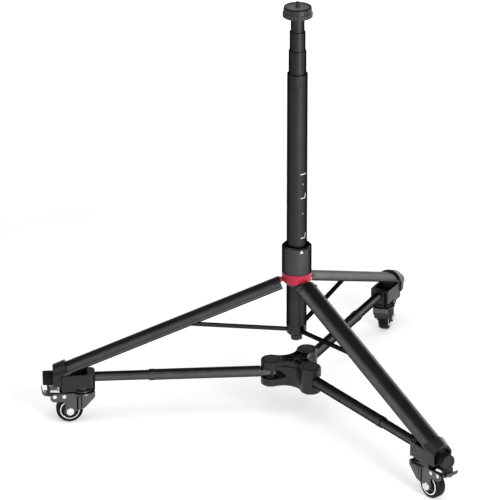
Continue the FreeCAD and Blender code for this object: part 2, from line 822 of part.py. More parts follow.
def leg_foot(name):
    """Plug in the end of the channel with a block that stands in the tray."""
    body = new_body("leg_foot_" + name)
    plug = new_sketch(body, "YZ_Plane", D.leg_length - D.foot_plug_length)
    leg_hollow(plug)
    pad(body, plug, D.foot_plug_length - D.face_gap)
    inner, outer, low = D.foot_block_inner, D.foot_block_outer, D.foot_block_bottom
    edge = D.edge_break
    end = D.leg_length - D.face_gap
    step = leg_bottom() + D.leg_lip_thickness
    top = -D.foot_block_root
    depth = (outer - inner) / cosine(D.leg_slope)
    block = new_sketch(body, "XZ_Plane")
    draw(block, [leg_point(inner, low + edge), leg_point(inner + edge, low),
                 leg_point(outer - edge, low), leg_point(outer, low + edge),
                 leg_point(outer, D.foot_block_shoulder), (end, step), (end, top),
                 (end - depth, top)])
    pad(body, block, D.foot_block_width, middle=True)
    return body


def leg_pin(name):
    body = new_body("leg_pin_" + name)
    sketch = new_sketch(body, "XZ_Plane")
    circle(sketch, ZERO, ZERO, D.leg_pin_diameter / 2)
    pad(body, sketch, D.leg_pin_length, middle=True)
    return body


def rod_run():
    """Length of a brace rod between its eyes, and its lean below level in degrees."""
    run = D.rod_pin_radius - D.rod_foot_radius
    rise = D.rod_pin_height - D.rod_foot_height
    return root(run * run + rise * rise), math.degrees(math.atan2(rise.value, run.value))


def brace_rod(name):
    """Folded strip with round ends and a cross pin; local X runs from leg to slider."""
    body = new_body("brace_rod_" + name)
    length, lean = rod_run()
    high = D.rod_height / 2
    side = new_sketch(body, "XZ_Plane")
    draw(side, [(ZERO, -high, high), (length, -high), (length + high, ZERO, high),
                (length, high, high), (ZERO, high), (-high, ZERO, high)])
    pad(body, side, D.rod_width, middle=True)
    channel = new_sketch(body, "XZ_Plane")
    inset = D.rod_height + high
    rectangle(channel, inset, -D.rod_height, length - inset, high - D.rod_wall)
    pocket(body, channel, D.rod_width - D.rod_wall * 2, middle=True)
    eye = new_sketch(body, "XZ_Plane")
    circle(eye, length, ZERO, D.rod_pin_diameter / 2)
    pocket(body, eye, D.rod_width * 2, middle=True)
    pin = new_sketch(body, "XZ_Plane")
    circle(pin, ZERO, ZERO, D.rod_pin_diameter / 2)
    pad(body, pin, D.rod_pin_span, middle=True)
    return body


# Dolly hub

def side_bend():
    """Radius of the concave sides that meet the lobes at a tangent."""
    reach, lobe, waist = D.pivot_radius, D.lobe_radius, D.waist_radius
    top = waist * waist + reach * reach - waist * reach - lobe * lobe
    return top / (lobe * 2 + reach - waist * 2)


def around(x, y, index):
    """A point turned to one of the stations."""
    turn = D.full_turn / D.station_count * index
    return x * cosine(turn) - y * sine(turn), x * sine(turn) + y * cosine(turn)


def hub_outline(sketch):
    """Three lobes joined by concave sides, tangent to them."""
    reach, lobe = D.pivot_radius, D.lobe_radius
    bend = side_bend()
    middle = D.half_turn / D.station_count
    centre_x = (bend + D.waist_radius) * cosine(middle)
    centre_y = (bend + D.waist_radius) * sine(middle)
    touch_x = reach + (centre_x - reach) * (lobe / (lobe + bend))
    touch_y = centre_y * (lobe / (lobe + bend))
    points = []
    for index in range(int(D.station_count.value)):
        points.append(around(touch_x, -touch_y, index) + (-bend,))
        points.append(around(reach + lobe, ZERO, index) + (lobe,))
        points.append(around(touch_x, touch_y, index) + (lobe,))
    draw(sketch, points)


def pan_outline(sketch):
    """Inside of the pan: concave sides, and arcs round the lobe caps."""
    collar = D.lobe_radius + D.lobe_rim
    y = D.pan_corner
    x = D.pivot_radius - root(collar * collar - y * y)
    points = []
    for index in range(int(D.station_count.value)):
        points.append(around(x, -y, index) + (-(side_bend() + D.pan_wall),))
        points.append(around(x, y, index) + (-collar,))
    draw(sketch, points)


def dolly_hub():
    """Upper part of the hub: solid core, open storey for the arm ends, ribbed pan."""
    body = new_body("dolly_hub")
    top = D.hub_top
    solid = new_sketch(body, "XY_Plane", D.window_bottom)
    hub_outline(solid)
    pad(body, solid, top - D.window_bottom)
    soften(body, "Chamfer", D.lobe_bevel, at_height(top))
    window = new_sketch(body, "XY_Plane", D.window_bottom)
    centre, reach = D.pivot_radius, D.lobe_radius + D.edge_break
    shut = D.tongue_width / 2 + D.face_gap
    side = root(reach * reach - shut * shut)
    draw(window, [(centre + side, -shut), (centre, reach, reach), (centre - side, -shut, reach)])
    cut = pocket(body, window, D.window_top - D.window_bottom, reverse=True)
    polar(body, [cut], D.station_count, False)
    pan = new_sketch(body, "XY_Plane", top - D.pan_depth)
    pan_outline(pan)
    pocket(body, pan, D.pan_depth * 2, reverse=True)
    rib = new_sketch(body, "XY_Plane", top - D.pan_depth)
    half = D.rib_width / 2
    rectangle(rib, -D.rib_waist_reach, -half, D.rib_lobe_reach, half)
    step = pad(body, rib, D.rib_height)
    polar(body, [step], D.station_count, True)
    ring = new_sketch(body, "XY_Plane", top - D.cap_recess)
    circle(ring, D.pivot_radius, ZERO, D.cap_radius)
    circle(ring, D.pivot_radius, ZERO, D.cap_radius - D.edge_break)
    step = pocket(body, ring, D.cap_recess * 2, reverse=True)
    polar(body, [step], D.station_count, False)
    hole = new_sketch(body, "XY_Plane", D.window_top)
    circle(hole, D.pivot_radius, ZERO, D.pivot_diameter / 2)
    step = pocket(body, hole, D.pivot_top - D.window_top, reverse=True)
    polar(body, [step], D.station_count, False)
    keep(body, station_place(0))


def dolly_hub_base():
    """Lower part of the hub with a recessed underside."""
    body = new_body("dolly_hub_base")
    low = D.hub_bottom
    solid = new_sketch(body, "XY_Plane", low)
    hub_outline(solid)
    pad(body, solid, D.window_bottom - low)
    soften(body, "Chamfer", D.lobe_bevel, at_height(low))
    under = new_sketch(body, "XY_Plane", low)
    circle(under, ZERO, ZERO, D.waist_radius - D.skirt_wall)
    circle(under, ZERO, ZERO, D.stud_diameter)
    pocket(body, under, D.underside_depth, reverse=True)
    hole = new_sketch(body, "XY_Plane", low)
    circle(hole, D.pivot_radius, ZERO, D.pivot_diameter / 2)
    cut = pocket(body, hole, D.window_bottom - low, reverse=True)
    sink = new_sketch(body, "XY_Plane", low)
    circle(sink, D.pivot_radius, ZERO, D.pivot_head_diameter / 2)
    step = pocket(body, sink, D.pivot_head_height, reverse=True)
    polar(body, [cut, step], D.station_count, False)
    keep(body, station_place(0))


def arm_pivot(index, name):
    body = new_body("arm_pivot_" + name)
    shank = D.pivot_diameter / 2
    head = D.pivot_head_diameter / 2
    low = D.hub_bottom + D.edge_break
    shoulder = D.hub_bottom + D.pivot_head_height
    sketch = new_sketch(body, "XZ_Plane")
    draw(sketch, [(ZERO, low), (head, low), (head, shoulder), (shank, shoulder),
                  (shank, D.pivot_top), (ZERO, D.pivot_top)])
    revolve(body, sketch)
    keep(body, station_place(index, D.pivot_radius))


# Arms

def grooved_circle(sketch, radius, floor, width):
    """Round outline on the arm axis with a groove along the top down to a floor."""
    half = width / 2
    shoulder = root(radius * radius - half * half)
    axis = D.arm_height
    draw(sketch, [(half, axis + floor), (half, axis + shoulder), (ZERO, axis - radius, -radius),
                  (-half, axis + shoulder, -radius), (-half, axis + floor)])


def groove_floor():
    """Bottom of the outer tube's groove above the arm axis."""
    return D.arm_outer_diameter / 2 - D.groove_depth


def arm_outer(index, name):
    """Fixed tube with a rolled groove, a stop ring, and a flat tongue on the pivot."""
    body = new_body("arm_outer_" + name)
    radius = D.arm_outer_diameter / 2
    bore = D.arm_inner_diameter / 2 + D.slide_clearance
    floor = groove_floor()
    tube = new_sketch(body, "YZ_Plane", D.arm_outer_start)
    grooved_circle(tube, radius, floor, D.groove_width)
    pad(body, tube, D.arm_outer_end - D.arm_outer_start)
    ring = new_sketch(body, "YZ_Plane", D.arm_outer_end - D.ferrule_length)
    grooved_circle(ring, radius + D.ferrule_rise, floor, D.groove_width)
    pad(body, ring, D.ferrule_length)
    inner = new_sketch(body, "YZ_Plane", D.arm_outer_start + D.tongue_plug)
    grooved_circle(inner, bore, floor - D.arm_wall, D.groove_width + D.arm_wall * 2)
    pocket(body, inner, D.arm_outer_end - D.arm_outer_start - D.tongue_plug, reverse=True)
    half = D.tongue_width / 2
    start, end = D.tongue_start, D.tongue_end
    tongue = new_sketch(body, "XY_Plane", D.arm_height - D.tongue_height / 2)
    draw(tongue, [(start, -half / 2), (start + half / 2, -half), (end, -half), (end, half),
                  (start + half / 2, half), (start, half / 2)])
    pad(body, tongue, D.tongue_height)
    hole = new_sketch(body, "XY_Plane", D.arm_height)
    circle(hole, D.pivot_radius, ZERO, D.pivot_diameter / 2)
    pocket(body, hole, D.arm_outer_diameter, middle=True)
    keep(body, station_place(index))


def inner_profile(sketch):
    gap = D.groove_gap
    grooved_circle(sketch, D.arm_inner_diameter / 2, groove_floor() - D.arm_wall - gap,
                   D.groove_width + D.arm_wall * 2 + gap * 2)


def arm_inner(index, name):
    body = new_body("arm_inner_" + name)
    length = D.arm_inner_seat - D.arm_inner_start
    tube = new_sketch(body, "YZ_Plane", D.arm_inner_start)
    inner_profile(tube)
    pad(body, tube, length)
    hollow = new_sketch(body, "YZ_Plane", D.arm_inner_start)
    radius = D.arm_inner_diameter / 2 - D.arm_inner_wall - D.groove_depth / 2
    circle(hollow, ZERO, D.arm_height - D.groove_depth / 2, radius)
    pocket(body, hollow, length, reverse=True)
    keep(body, station_place(index))


# End boxes, hoods and knobs

def end_box(index, name):
    """Open tray that carries the caster, with a thick wall round the arm."""
    body = new_body("end_box_" + name)
    half, bend, nick = D.box_half_width, D.box_corner, D.box_outer_corner
    near, far, low, high = D.box_inner, D.box_outer, D.box_bottom, D.box_top_inner
    head = near + D.box_head_wall
    plan = new_sketch(body, "XY_Plane", low)
    draw(plan, [(near, bend - half), (near + bend, -half, bend), (far - nick, -half),
                (far, nick - half, nick), (far, half - nick), (far - nick, half, nick),
                (near + bend, half), (near, half - bend, bend)])
    pad(body, plan, high - low)
    slope = new_sketch(body, "XZ_Plane")
    draw(slope, [(head, high), (far, D.box_top_outer), (far + nick, D.box_top_outer),
                 (far + nick, high + nick), (head, high + nick)])
    pocket(body, slope, half * 4, middle=True)
    wide, round_in = half - D.box_wall, D.tray_corner
    end = far - D.box_wall
    tray = new_sketch(body, "XY_Plane", D.box_floor)
    draw(tray, [(head, round_in - wide), (head + round_in, -wide, round_in),
                (end - round_in, -wide), (end, round_in - wide, round_in), (end, wide - round_in),
                (end - round_in, wide, round_in), (head + round_in, wide),
                (head, wide - round_in, round_in)])
    pocket(body, tray, high - D.box_floor + nick, reverse=True)
    step = new_sketch(body, "XZ_Plane")
    draw(step, [(near - nick, low - nick), (D.box_step_radius, low - nick),
                (D.box_step_radius, low), (D.box_step_radius - nick * 2, D.box_step_height),
                (near - nick, D.box_step_height)])
    pocket(body, step, half * 4, middle=True)
    race = new_sketch(body, "XY_Plane", low)
    circle(race, D.caster_radius, ZERO, D.race_recess_radius)
    pocket(body, race, D.box_step_height - low, reverse=True)
    socket = new_sketch(body, "YZ_Plane", near)
    inner_profile(socket)
    pocket(body, socket, D.arm_inner_seat - near, reverse=True)
    stem = new_sketch(body, "XY_Plane", D.box_step_height)
    circle(stem, D.caster_radius, ZERO, D.stem_diameter / 2)
    pocket(body, stem, D.box_floor - D.box_step_height, reverse=True)
    screw = new_sketch(body, "YZ_Plane", end)
    circle(screw, ZERO, D.arm_height, D.screw_diameter / 2 + D.pin_clearance)
    pocket(body, screw, D.box_wall, reverse=True)
    keep(body, station_place(index))


def arch_radius(half, rise):
    return (half * half + rise * rise) / (rise * 2)


def hood_section(sketch, half):
    """Arched roof with straight sides, in the leg's cross plane."""
    radius = arch_radius(half, D.hood_crown_rise - D.hood_spring)
    draw(sketch, [(half, D.hood_skirt), (half, D.hood_spring), (ZERO, D.hood_crown_rise, radius),
                  (-half, D.hood_spring, radius), (-half, D.hood_skirt)])


def foot_hood(name):
    """Arched clamp over the leg's end, lofted in the leg frame and trimmed upright."""
    body = new_body("foot_hood_" + name)
    mouth = new_sketch(body, "YZ_Plane", D.hood_mouth)
    hood_section(mouth, D.hood_mouth_half)
    far = new_sketch(body, "YZ_Plane", D.hood_far)
    hood_section(far, D.hood_far_half)
    loft = feature(body, "AdditiveLoft", mouth)
    loft.Sections = [far]
    loft.Ruled = True
    far.Visibility = False
    settle(body, loft, 0, True)
    cavity = new_sketch(body, "YZ_Plane", D.hood_mouth)
    leg_outline(cavity, D.leg_half_width + D.hood_side_gap, D.leg_arc_radius + D.hood_leg_gap,
                D.leg_crown_rise + D.hood_leg_gap, D.hood_skirt - D.edge_break)
    pocket(body, cavity, D.hood_cavity_end - D.hood_mouth, reverse=True)
    margin, out, low = D.trim_margin, D.hood_outer, D.hood_bottom
    face = D.box_outer
    upright = [(face - margin, low - margin), (out + margin, low - margin),
               (out + margin, low + margin), (out, low + margin), (out, low), (face, low),
               (face, D.hood_neck_height), (D.hood_slant_radius, D.hood_slant_height),
               (D.hood_ear_radius, D.hood_ear_height), (face - margin, D.hood_ear_height)]
    trim = new_sketch(body, "XZ_Plane")
    draw(trim, [leg_point(radius, height) for radius, height in upright])
    pocket(body, trim, margin * 2, middle=True)
    hood_face(body)
    return body


def upright_sketch(body, radius):
    """Sketch in a body of the leg frame whose plane stands upright at a radius."""
    sketch = body.newObject("Sketcher::SketchObject", body.Name + "_upright")
    sketch.AttachmentSupport = (origin_feature(body, "YZ_Plane"), [""])
    sketch.MapMode = "FlatFace"
    along, rise = leg_point(radius, D.arm_height)
    sketch.AttachmentOffset = Placement(Vector(0, rise.value, along.value),
                                        Rotation(Vector(-1, 0, 0), D.leg_slope.value))
    sketch.setExpression("AttachmentOffset.Base.y", rise.text)
    sketch.setExpression("AttachmentOffset.Base.z", along.text)
    sketch.setExpression("AttachmentOffset.Rotation.Angle", D.leg_slope.text)
    return sketch


def hood_face(body):
    """Recess in the outer face, with screw boss and screw hole on the arm axis."""
    face, out, axis = D.box_outer, D.hood_outer, D.arm_height
    half, spring = D.hood_recess_half, D.hood_recess_spring - axis
    crown = D.hood_recess_crown - axis
    low = D.hood_bottom + D.hood_rim_wall - axis
    radius = arch_radius(half, crown - spring)
    recess = upright_sketch(body, out)
    draw(recess, [(half, low), (half, spring), (ZERO, crown, radius), (-half, spring, radius),
                  (-half, low)])
    pocket(body, recess, out - face - D.hood_web)
    boss = upright_sketch(body, face)
    circle(boss, ZERO, ZERO, D.boss_diameter / 2)
    pad(body, boss, out - face - D.face_gap)
    hole = upright_sketch(body, out)
    circle(hole, ZERO, ZERO, D.screw_diameter / 2 + D.pin_clearance)
    pocket(body, hole, out - face + D.face_gap)


def knob(index, name):
    """Fluted knob with its clamp screw; local X points outward from the hood's face."""
    body = new_body("knob_" + name)
    outer = D.knob_diameter / 2
    tip = D.foot_block_outer + D.face_gap - D.hood_outer
    screw = D.screw_diameter / 2
    dish = D.knob_dish_diameter / 2
    end, sunk = D.knob_length, D.knob_length - D.knob_dish_depth
    edge, bevel = D.edge_break, D.knob_bevel
    sketch = new_sketch(body, "XY_Plane")
    draw(sketch, [(tip, ZERO), (sunk, ZERO), (sunk, dish), (end, dish + edge),
                  (end, outer - bevel), (end - bevel, outer), (edge, outer), (ZERO, outer - edge),
                  (ZERO, screw), (tip, screw)])
    revolve(body, sketch, "H_Axis")
    flute = new_sketch(body, "YZ_Plane", bevel)
    notch(flute, outer, D.knob_flute_depth)
    step = pocket(body, flute, end - bevel * 2, reverse=True)
    polar(body, [step], D.knob_flute_count, False, "X_Axis")
    keep(body, station_place(index, D.hood_outer, D.arm_height))


# Casters, in a frame on the swivel axis with X along the trail

def hexagon(sketch, across):
    radius = across / root(Size(3, "3"))
    corners = []
    for index in range(6):
        turn = D.full_turn / 6 * index
        corners.append((radius * cosine(turn), radius * sine(turn)))
    draw(sketch, corners)


def caster_plate(index, name):
    """Fixed upper raceway with its stem, washer and nut in the tray."""
    body = new_body("caster_plate_" + name)
    race = D.raceway_diameter / 2
    flange = D.raceway_flange_diameter / 2
    stem = D.stem_diameter / 2
    washer = D.washer_diameter / 2
    top, floor, edge = D.box_step_height, D.box_floor, D.edge_break
    under = top - D.raceway_flange
    disc = floor + D.washer_thickness
    sketch = new_sketch(body, "XZ_Plane")
    draw(sketch, [(ZERO, D.raceway_bottom), (race, D.raceway_bottom), (race + edge, under),
                  (flange, under), (flange, top), (stem, top), (stem, floor), (washer, floor),
                  (washer, disc), (stem, disc), (stem, D.stem_top - edge),
                  (stem - edge, D.stem_top), (ZERO, D.stem_top)])
    revolve(body, sketch)
    nut = new_sketch(body, "XY_Plane", disc)
    hexagon(nut, D.nut_across)
    pad(body, nut, D.nut_height)
    keep(body, station_place(index, D.caster_radius))


def fork_side(sketch):
    """Side view of the fork: crown, front edge, axle ear, brake tail."""
    cap, high, wall = D.fork_cap_diameter / 2, D.fork_cap_top, D.fork_plate
    trail, axle_z, ear = D.caster_trail, D.axle_height, D.ear_radius
    tail, low, bend = D.tail_reach, D.tail_bottom, D.tail_corner
    back = trail + D.tail_start
    front = D.edge_break - cap
    draw(sketch, [(front, high), (front, D.fork_skirt_bottom),
                  (-D.fork_front_reach, D.fork_front_low), (trail - ear, axle_z),
                  (trail, axle_z - ear, ear), (trail + ear, axle_z, ear), (back, low - bend),
                  (back + bend, low), (tail - bend, low), (tail, low + bend),
                  (tail, high - wall), (tail - wall, high)])


def fork_hollow(sketch):
    """Space between the plates, under the crown and behind the closed front."""
    cap, high, wall = D.fork_cap_diameter / 2, D.fork_cap_top, D.fork_plate
    under, tail = D.fork_crown_bottom, D.tail_reach
    front = D.edge_break + wall - cap
    draw(sketch, [(front, under), (front, D.fork_skirt_bottom + wall),
                  (-D.fork_skirt_inset, D.fork_skirt_low), (-cap, D.fork_skirt_low),
                  (-cap, ZERO), (tail + wall, ZERO), (tail + wall, high + wall),
                  (cap - wall * 2, high + wall), (cap - wall * 2, under)])


def caster_fork(index, name):
    """Stamped fork: round cap with a raised race, two plates, closed front, brake tail."""
    body = new_body("caster_fork_" + name)
    half, wall = D.fork_half_width, D.fork_plate
    side = new_sketch(body, "XZ_Plane")
    fork_side(side)
    pad(body, side, half * 2, middle=True)
    inside = new_sketch(body, "XZ_Plane")
    fork_hollow(inside)
    pocket(body, inside, half * 2 - wall * 2, middle=True)
    cap, ring = D.fork_cap_diameter / 2, D.fork_ring_diameter / 2
    under, high, edge = D.fork_crown_bottom, D.fork_cap_top, D.edge_break
    crown = new_sketch(body, "XZ_Plane")
    draw(crown, [(ZERO, under), (cap - wall, under), (cap, under + wall / 2),
                 (cap - wall / 2, high), (ring + edge, high), (ring, high + edge),
                 (ring, D.fork_ring_top), (ZERO, D.fork_ring_top)])
    revolve(body, crown)
    holes = new_sketch(body, "XZ_Plane")
    circle(holes, D.caster_trail, D.axle_height, D.axle_diameter / 2)
    circle(holes, D.brake_pin_reach, D.brake_pin_height,
           D.brake_pin_diameter / 2 + D.pin_clearance)
    pocket(body, holes, half * 4, middle=True)
    keep(body, caster_place(index))


def caster_place(index):
    return station_place(index, D.caster_radius, turn=SWIVELS[index].value)


def wheel_place(index):
    to_axle = Placement(Vector(D.caster_trail.value, 0, D.axle_height.value), Rotation())
    return caster_place(index).multiply(to_axle)


def wheel_tyre(index, name):
    body = new_body("wheel_tyre_" + name)
    outer, inner = D.wheel_diameter / 2, D.tyre_inner_diameter / 2
    half, bend = D.wheel_width / 2, D.tyre_round
    inset = bend - bend / root(Size(2, "2"))
    sketch = new_sketch(body, "XY_Plane")
    draw(sketch, [(inner, -half), (outer - bend, -half), (outer - inset, inset - half),
                  (outer, bend - half), (outer, half - bend), (outer - inset, half - inset),
                  (outer - bend, half), (inner, half)])
    revolve(body, sketch)
    keep(body, wheel_place(index))


def wheel_hub(index, name):
    """Wheel centre with dished faces, a raised ring and a long boss on the axle."""
    body = new_body("wheel_hub_" + name)
    half = D.hub_disc_width / 2
    ring, width = D.hub_ring_diameter / 2, D.hub_ring_width
    boss, boss_half = D.hub_boss_diameter / 2, D.hub_boss_width / 2
    dish, bevel = half - D.hub_dish_depth, D.hub_ring_rise
    bore = D.axle_diameter / 2 + D.pin_clearance
    face = [(D.tyre_inner_diameter / 2, half), (ring, half), (ring - bevel, half + bevel),
            (ring - width + bevel, half + bevel), (ring - width, half),
            (ring - width * 2, dish), (boss + bevel, dish), (boss, boss_half), (bore, boss_half)]
    sketch = new_sketch(body, "XY_Plane")
    draw(sketch, face + [(x, -y) for x, y in reversed(face)])
    revolve(body, sketch)
    keep(body, wheel_place(index))


def axle(index, name):
    """Through bolt with a hexagon at each end."""
    body = new_body("axle_" + name)
    half = D.fork_half_width
    shank = new_sketch(body, "XZ_Plane")
    circle(shank, ZERO, ZERO, D.axle_diameter / 2)
    pad(body, shank, D.axle_end * 2, middle=True)
    for offset, reverse in ((half, False), (-half, True)):
        head = new_sketch(body, "XZ_Plane", offset)
        hexagon(head, D.nut_across)
        pad(body, head, D.axle_end - half - D.edge_break, reverse=reverse)
    keep(body, wheel_place(index))


def brake_pedal(index, name):
    """Pedal on a pin through the fork: cheeks, shelf, tread with a raised lip, brake shoe."""
    body = new_body("brake_pedal_" + name)
    pin_x, pin_z, eye = D.brake_pin_reach, D.brake_pin_height, D.pedal_eye_radius
    plate, top, low = D.pedal_plate, D.pedal_top, D.pedal_bottom
    near, far, lip = D.pedal_shelf_start, D.pedal_shelf_end, D.pedal_lip_reach
    knee_x, knee_z = D.pedal_knee_reach, D.pedal_knee_height
    lip_end = [(lip - plate, low), (lip, low + plate), (lip, D.pedal_lip_top),
               (lip - plate, D.pedal_lip_top), (lip - plate * 2, D.pedal_lip_foot)]
    start = D.pedal_wide_start
    arm = new_sketch(body, "XZ_Plane")
    draw(arm, [(pin_x - eye, pin_z, eye), (pin_x, pin_z - eye, eye)] + lip_end
         + [(start, D.pedal_tread_top), (far, D.pedal_tread_top + plate * 2), (far, top),
            (near, top), (knee_x, knee_z), (pin_x, pin_z + eye)])
    pad(body, arm, D.pedal_half_width * 2, middle=True)
    hollow = new_sketch(body, "XZ_Plane")
    draw(hollow, [(pin_x - eye * 2, pin_z - eye * 2), (far - plate, pin_z - eye * 2),
                  (far - plate, top - plate), (near + plate / 2, top - plate),
                  (knee_x + plate / 2, knee_z - plate), (pin_x, pin_z + eye - plate),
                  (pin_x - eye * 2, pin_z + eye - plate)])
    pocket(body, hollow, D.pedal_half_width * 2 - plate * 2, middle=True)
    tread = new_sketch(body, "XZ_Plane")
    draw(tread, [(start, low)] + lip_end + [(start, D.pedal_tread_top)])
    pad(body, tread, D.pedal_wide_half * 2, middle=True)
    shoe = new_sketch(body, "XZ_Plane")
    draw(shoe, [(D.shoe_start, D.shoe_bottom), (D.shoe_end, D.shoe_bottom),
                (D.shoe_end + plate, pin_z), (D.shoe_start, pin_z)])
    pad(body, shoe, D.pedal_half_width * 2, middle=True)
    pin = new_sketch(body, "XZ_Plane")
    circle(pin, pin_x, pin_z, D.brake_pin_diameter / 2)
    pad(body, pin, (D.fork_half_width + D.edge_break) * 2, middle=True)
    keep(body, caster_place(index))


def build_station(index, name):
    slope = D.leg_slope.value
    on_leg = station_place(index, D.leg_pin_radius_out, D.leg_pin_height, tilt=slope)
    keep(leg(name), on_leg)
    keep(leg_foot(name), on_leg)
    keep(foot_hood(name), on_leg)
    keep(leg_pin(name), station_place(index, D.leg_pin_radius_out, D.leg_pin_height))
    length, lean = rod_run()
    keep(brace_rod(name), station_place(index, D.rod_pin_radius, D.rod_pin_height,
                                        tilt=D.half_turn.value - lean))
    for build in (arm_pivot, arm_outer, arm_inner, end_box, knob, caster_plate, caster_fork,
                  wheel_tyre, wheel_hub, axle, brake_pedal):
        build(index, name)


def build_column():
    for build in (head_disc, head_stud, column_tubes, outer_tube, snap_button, lock_collar,
                  leg_hub, column_slider, dolly_hub, dolly_hub_base):
        build()


build_column()
for station, label in enumerate(STATIONS):
    build_station(station, label)
doc.recompute()

for item in doc.Objects:
    if "Invalid" in item.State or "Error" in item.State:
        raise RuntimeError("failed: " + item.Label)

os.makedirs("parts", exist_ok=True)
for body in parts:
    shape = body.Shape
    if shape.isNull() or not shape.isValid() or len(shape.Solids) != 1:
        raise RuntimeError("bad shape: " + body.Label)
    shape.exportStep("parts/" + body.Label + ".step")
print("wrote", len(parts), "parts")
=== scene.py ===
import bmesh
import bpy
import json
import math
from mathutils import Matrix, Vector

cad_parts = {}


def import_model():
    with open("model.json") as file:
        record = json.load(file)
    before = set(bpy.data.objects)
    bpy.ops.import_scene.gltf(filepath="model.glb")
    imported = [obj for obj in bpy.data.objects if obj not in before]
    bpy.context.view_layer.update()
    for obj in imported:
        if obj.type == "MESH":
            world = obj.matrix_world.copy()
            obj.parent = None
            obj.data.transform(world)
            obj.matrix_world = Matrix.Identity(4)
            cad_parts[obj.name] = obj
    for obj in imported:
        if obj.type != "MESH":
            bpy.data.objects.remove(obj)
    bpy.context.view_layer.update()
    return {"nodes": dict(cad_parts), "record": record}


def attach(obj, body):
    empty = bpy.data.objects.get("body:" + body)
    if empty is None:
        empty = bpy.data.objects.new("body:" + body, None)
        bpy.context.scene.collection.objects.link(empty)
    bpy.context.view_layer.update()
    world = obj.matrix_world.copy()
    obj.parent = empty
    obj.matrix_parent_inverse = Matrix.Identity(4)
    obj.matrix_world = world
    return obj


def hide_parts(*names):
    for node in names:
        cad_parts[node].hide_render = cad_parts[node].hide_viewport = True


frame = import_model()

# Places, in millimetres and degrees. A station is a leg, its arm and its caster.
AXIS_Y = -98.4
ANGLES = {"back": 90, "left": 210, "right": 330}
SWIVELS = {"back": 12, "left": 3, "right": 5}
HINGE_RADIUS, HINGE_HEIGHT, LEG_SLOPE = 33, 235.5, 21.97
ARM_PIVOT_RADIUS = 41.5
CASTER_RADIUS = 352
AXLE_REACH, AXLE_HEIGHT = 21.7, 22.1
PEDAL_PIN_REACH, PEDAL_PIN_HEIGHT = 31, 48.4
KNOB_HEIGHT = 77
MM = 0.001

# Radii and half widths of the faces that fine pieces stand on, in millimetres
MAIN_TUBE = 16.5
COLLAR = 24.2
LEG_SIDE = 18.1
FORK_SIDE = 13.4
HUB_CONCAVE = 28.5


def turned(axis, degrees):
    return Matrix.Rotation(math.radians(degrees), 4, axis)


def moved(x=0.0, y=0.0, z=0.0):
    return Matrix.Translation((x, y, z))


COLUMN = moved(0, AXIS_Y, 0)


def station(name, radius=0.0, height=0.0):
    """Local X points outward from the column, local Z up."""
    return COLUMN @ turned("Z", ANGLES[name]) @ moved(radius, 0, height)


def on_leg(name):
    """At the hinge of a leg, with local X down the leg."""
    return station(name, HINGE_RADIUS, HINGE_HEIGHT) @ turned("Y", LEG_SLOPE)


def caster(name):
    """On the floor under the swivel axis, turned as the caster stands."""
    return station(name, CASTER_RADIUS) @ turned("Z", SWIVELS[name])


def axle(name):
    return caster(name) @ moved(AXLE_REACH, 0, AXLE_HEIGHT)


def sideways(place, y, outward):
    """Local Z along the place's Y, or against it."""
    return place @ moved(0, y, 0) @ turned("X", -90 * outward)


def both_sides(name):
    """The two sides of a station, each with its sign and the end of its pieces' names."""
    return ((-1, name + "_b"), (1, name + "_a"))


def layer(side, inner, outer):
    """Lower and upper Y of a layer on one side."""
    return sorted((side * inner, side * outer))


# Materials

def graph(name):
    """Material with nothing but a Principled shader on its output."""
    material = bpy.data.materials.new(name)
    material.use_nodes = True
    tree = material.node_tree
    tree.nodes.clear()
    out = tree.nodes.new("ShaderNodeOutputMaterial")
    shader = tree.nodes.new("ShaderNodeBsdfPrincipled")
    tree.links.new(shader.outputs[0], out.inputs["Surface"])
    return material, tree, shader


def add(tree, kind, **values):
    """New node. A value goes to the node's property of that name, or else to its input."""
    node = tree.nodes.new("ShaderNode" + kind)
    for key, value in values.items():
        if hasattr(node, key):
            setattr(node, key, value)
        else:
            node.inputs[key.replace("_", " ")].default_value = value
    return node


def noise(tree, source, scale, detail=3.0, rough=0.55, stretch=(1, 1, 1)):
    place = add(tree, "Mapping")
    place.inputs["Scale"].default_value = stretch
    tree.links.new(source, place.inputs["Vector"])
    made = add(tree, "TexNoise", Scale=scale, Detail=detail, Roughness=rough)
    tree.links.new(place.outputs[0], made.inputs["Vector"])
    return made.outputs[0]


def ranged(tree, source, low, high, start=0.3, end=0.7):
    """The range from start to end, mapped to the range from low to high."""
    made = add(tree, "MapRange")
    made.inputs["From Min"].default_value = start
    made.inputs["From Max"].default_value = end
    made.inputs["To Min"].default_value = low
    made.inputs["To Max"].default_value = high
    tree.links.new(source, made.inputs["Value"])
    return made.outputs[0]


def mixed(tree, factor, first, second):
    made = add(tree, "Mix", data_type="RGBA")
    tree.links.new(factor, made.inputs[0])
    for socket, value in ((made.inputs[6], first), (made.inputs[7], second)):
        if isinstance(value, tuple):
            socket.default_value = value + (1.0,)
        else:
            tree.links.new(value, socket)
    return made.outputs[2]


def times(tree, first, second):
    made = add(tree, "Math", operation="MULTIPLY")
    tree.links.new(first, made.inputs[0])
    tree.links.new(second, made.inputs[1])
    return made.outputs[0]


def shade(colour, share):
    return tuple(min(channel * share, 1.0) for channel in colour)


